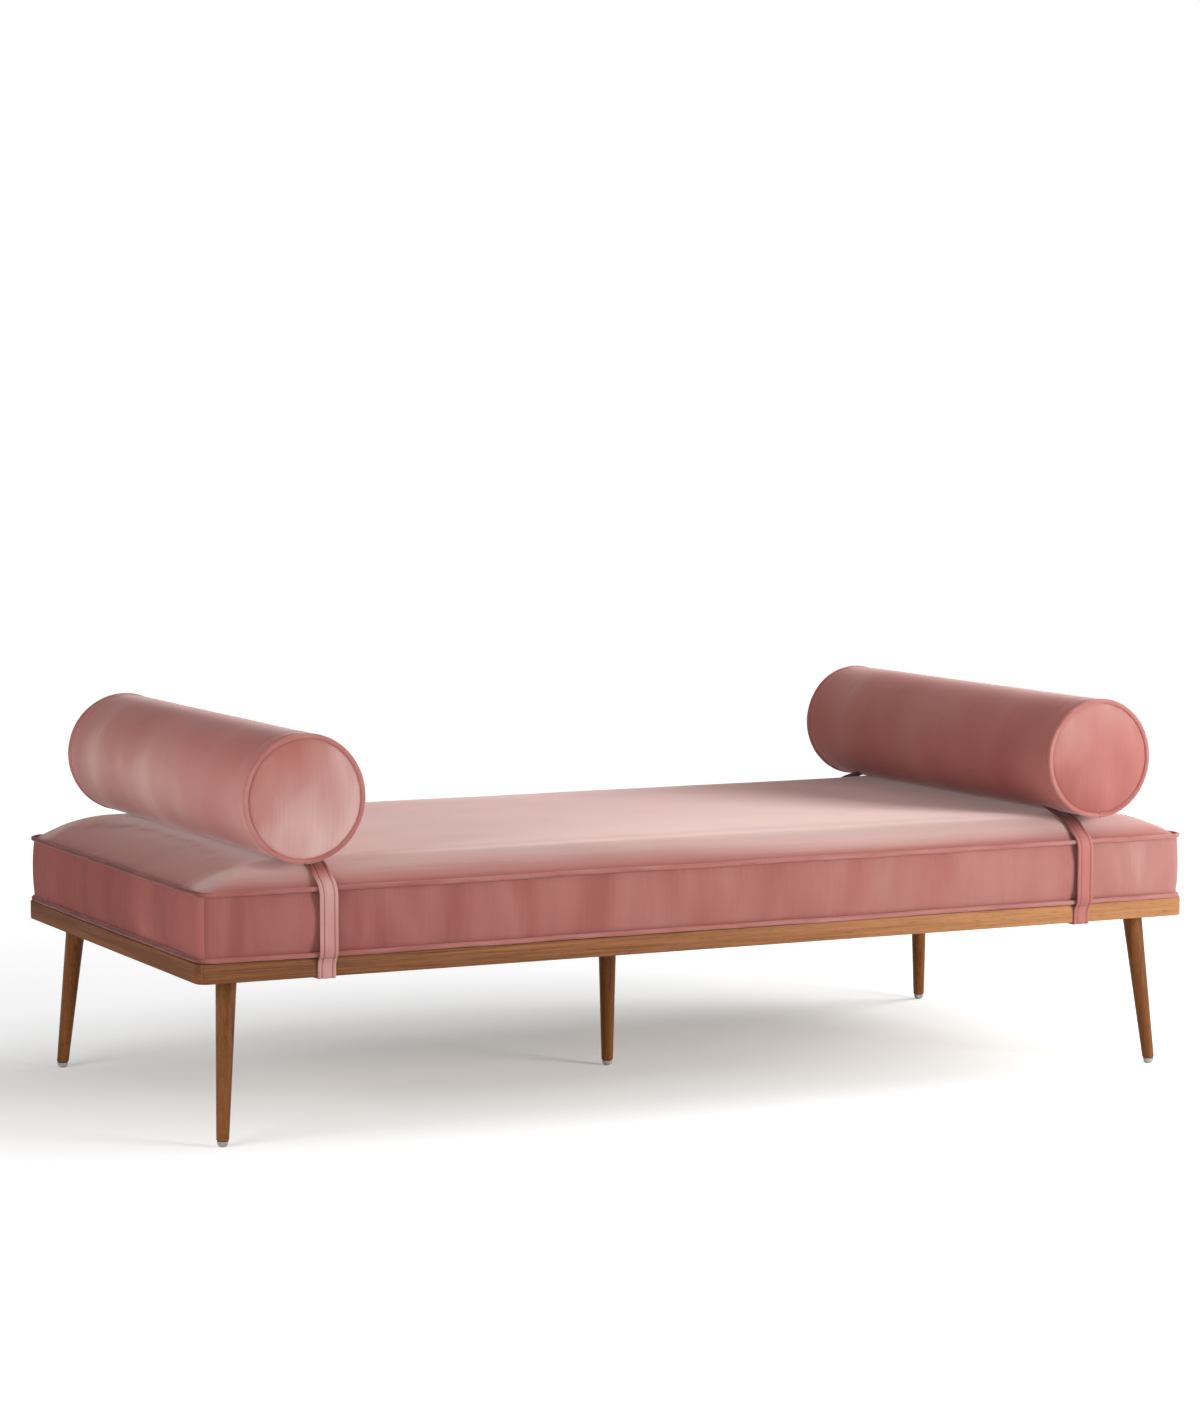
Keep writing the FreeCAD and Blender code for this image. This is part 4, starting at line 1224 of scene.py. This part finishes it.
def dress_frame():
    """Grain along each piece of wood, with a darker oak on the end rails that paints shade, and the
    finishes of the metal and nylon pieces.
    """
    # The front and rear rails carry painted light, paler towards the right-hand end.
    oak_x = wood("oak_along_x", 0, oak_dark, oak_middle, oak_pale, oak_pore,
                 roughness=0.5, painted_light_along_x=0.38, gloss=0.14)
    # The end rails get a darker oak than the front and rear rails: painted shade.
    oak_y_painted_shade = wood("oak_along_y_painted_shade", 1, oak_pore, oak_dark, oak_middle, oak_pore,
                 roughness=0.6, gloss=0.12)
    walnut = wood("walnut_leg", 2, walnut_dark, walnut_middle, walnut_pale, walnut_pore,
                  roughness=0.42, gloss=0.14)
    pine = wood("pine_along_x", 0, pine_dark, pine_middle, pine_pale, pine_pore, roughness=0.6)
    ply = wood("plywood_slat", 1, ply_dark, ply_middle, ply_pale, ply_pore, roughness=0.55)
    finishes = (
        (("rail_front", "rail_rear"), oak_x),
        (("rail_left", "rail_right"), oak_y_painted_shade),
        (("_screws",), metal("screw_steel", (0.70, 0.66, 0.55, 1), 0.3)),
        (("leg_plates", "brackets", "bolts"), metal("zinc_steel", (0.62, 0.62, 0.60, 1), 0.35)),
        (("leg_",), walnut),
        (("foot_glides",), nylon("glide_nylon")),
        (("slat_ledger", "centre_beam", "block"), pine),
        (("slat_",), ply),
        (("slider",), metal("slider_metal", (0.55, 0.50, 0.45, 1), 0.3)),
    )
    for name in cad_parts:
        for words, material in finishes:
            if any(word in name for word in words):
                refinish(name, material)
                break


def dress_mattress(tape):
    """The cover and its two pipings, in place of the foam and the cloth's plain solids."""
    # Each cloth's level is set to how bright that piece looks under the lamps, so the differences
    # between levels paint light and shade; the boxing and piping are made paler towards the right-hand
    # end as painted light.
    top_cloth = velvet("velvet_top", 0.88, (3.5, 1.6), (220, 4), sheen=(0.85, 0.40))
    side_cloth = velvet("velvet_boxing", 0.84, (11.0, 3.0), (200, 8), painted_light_along_x=0.20, sheen=(0.5, 0.3))
    end_cloth = velvet("velvet_end", 0.95, (5.0, 2.0), (120, 5), sheen=(0.15, 0.3))
    pipe_cloth = velvet("velvet_piping", 0.92, (9.0, 60.0), (200, 90), painted_light_along_x=0.16)
    base_cloth = plain_cloth("base_cloth", base_dark, base_pale)
    cover = mattress_cover(top_cloth, side_cloth, end_cloth, base_cloth)
    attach(cover, "base")
    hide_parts("mattress_core", "mattress_top_panel", "mattress_boxing",
                "mattress_bottom_panel")
    for place, z, seed in (("top", top_seam, 1), ("bottom", bottom_seam, 5)):
        piping = mattress_piping("mattress_%s_piping_cord" % place, z, seed, pipe_cloth)
        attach(piping, "base")
        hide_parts("mattress_piping_" + place)
    refinish("mattress_zip", tape)


def dress_bolsters(tape):
    """Each bolster's cover, rings, straps and stitches."""
    # Each cloth's level is set to how bright that piece looks under the lamps, so the differences paint
    # light and shade; the discs are made darker towards the right-hand end as painted shade.
    roll_cloth = velvet("velvet_bolster", 1.05, (4.5, 2.5), (260, 6), sheen=(0.45, 0.30))
    disc_cloth = velvet("velvet_disc", 0.98, (11.0, 6.0), (260, 9), painted_light_along_x=-0.10)
    ring_cloth = velvet("velvet_ring", 1.0, (9.0, 60.0), (200, 90))
    strap_cloth = velvet("velvet_strap", 1.0, (9.0, 9.0), (200, 9))
    thread = plain_cloth("thread", thread_dark, thread_pale)
    for side, seed in (("left", 20), ("right", 40)):
        body = side + "_bolster"
        roll = bolster_cover(side, roll_cloth, disc_cloth, seed)
        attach(roll, body)
        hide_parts(body + "_core", body + "_tube", body + "_front_disc", body + "_rear_disc")
        rings = bolster_piping(side, seed + 5, ring_cloth)
        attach(rings, body)
        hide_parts(body + "_piping")
        for end in ("front", "rear"):
            parts = strap(side, end, seed + len(end), strap_cloth)
            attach(parts[0], body)
            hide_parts(body + "_strap_" + end)
            stitches = strap_stitches(body + "_strap_" + end + "_stitches", parts, thread)
            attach(stitches, body)
        refinish(body + "_zip", tape)
        refinish(body + "_strap_closure", tape)


def main():
    """Set the stage, then dress the frame, the mattress and the bolsters."""
    stage()
    camera()
    for settings in lamps:
        lamp(*settings)
    dress_frame()
    tape = plain_cloth("zip_tape", tape_dark, tape_pale)
    dress_mattress(tape)
    dress_bolsters(tape)


main()
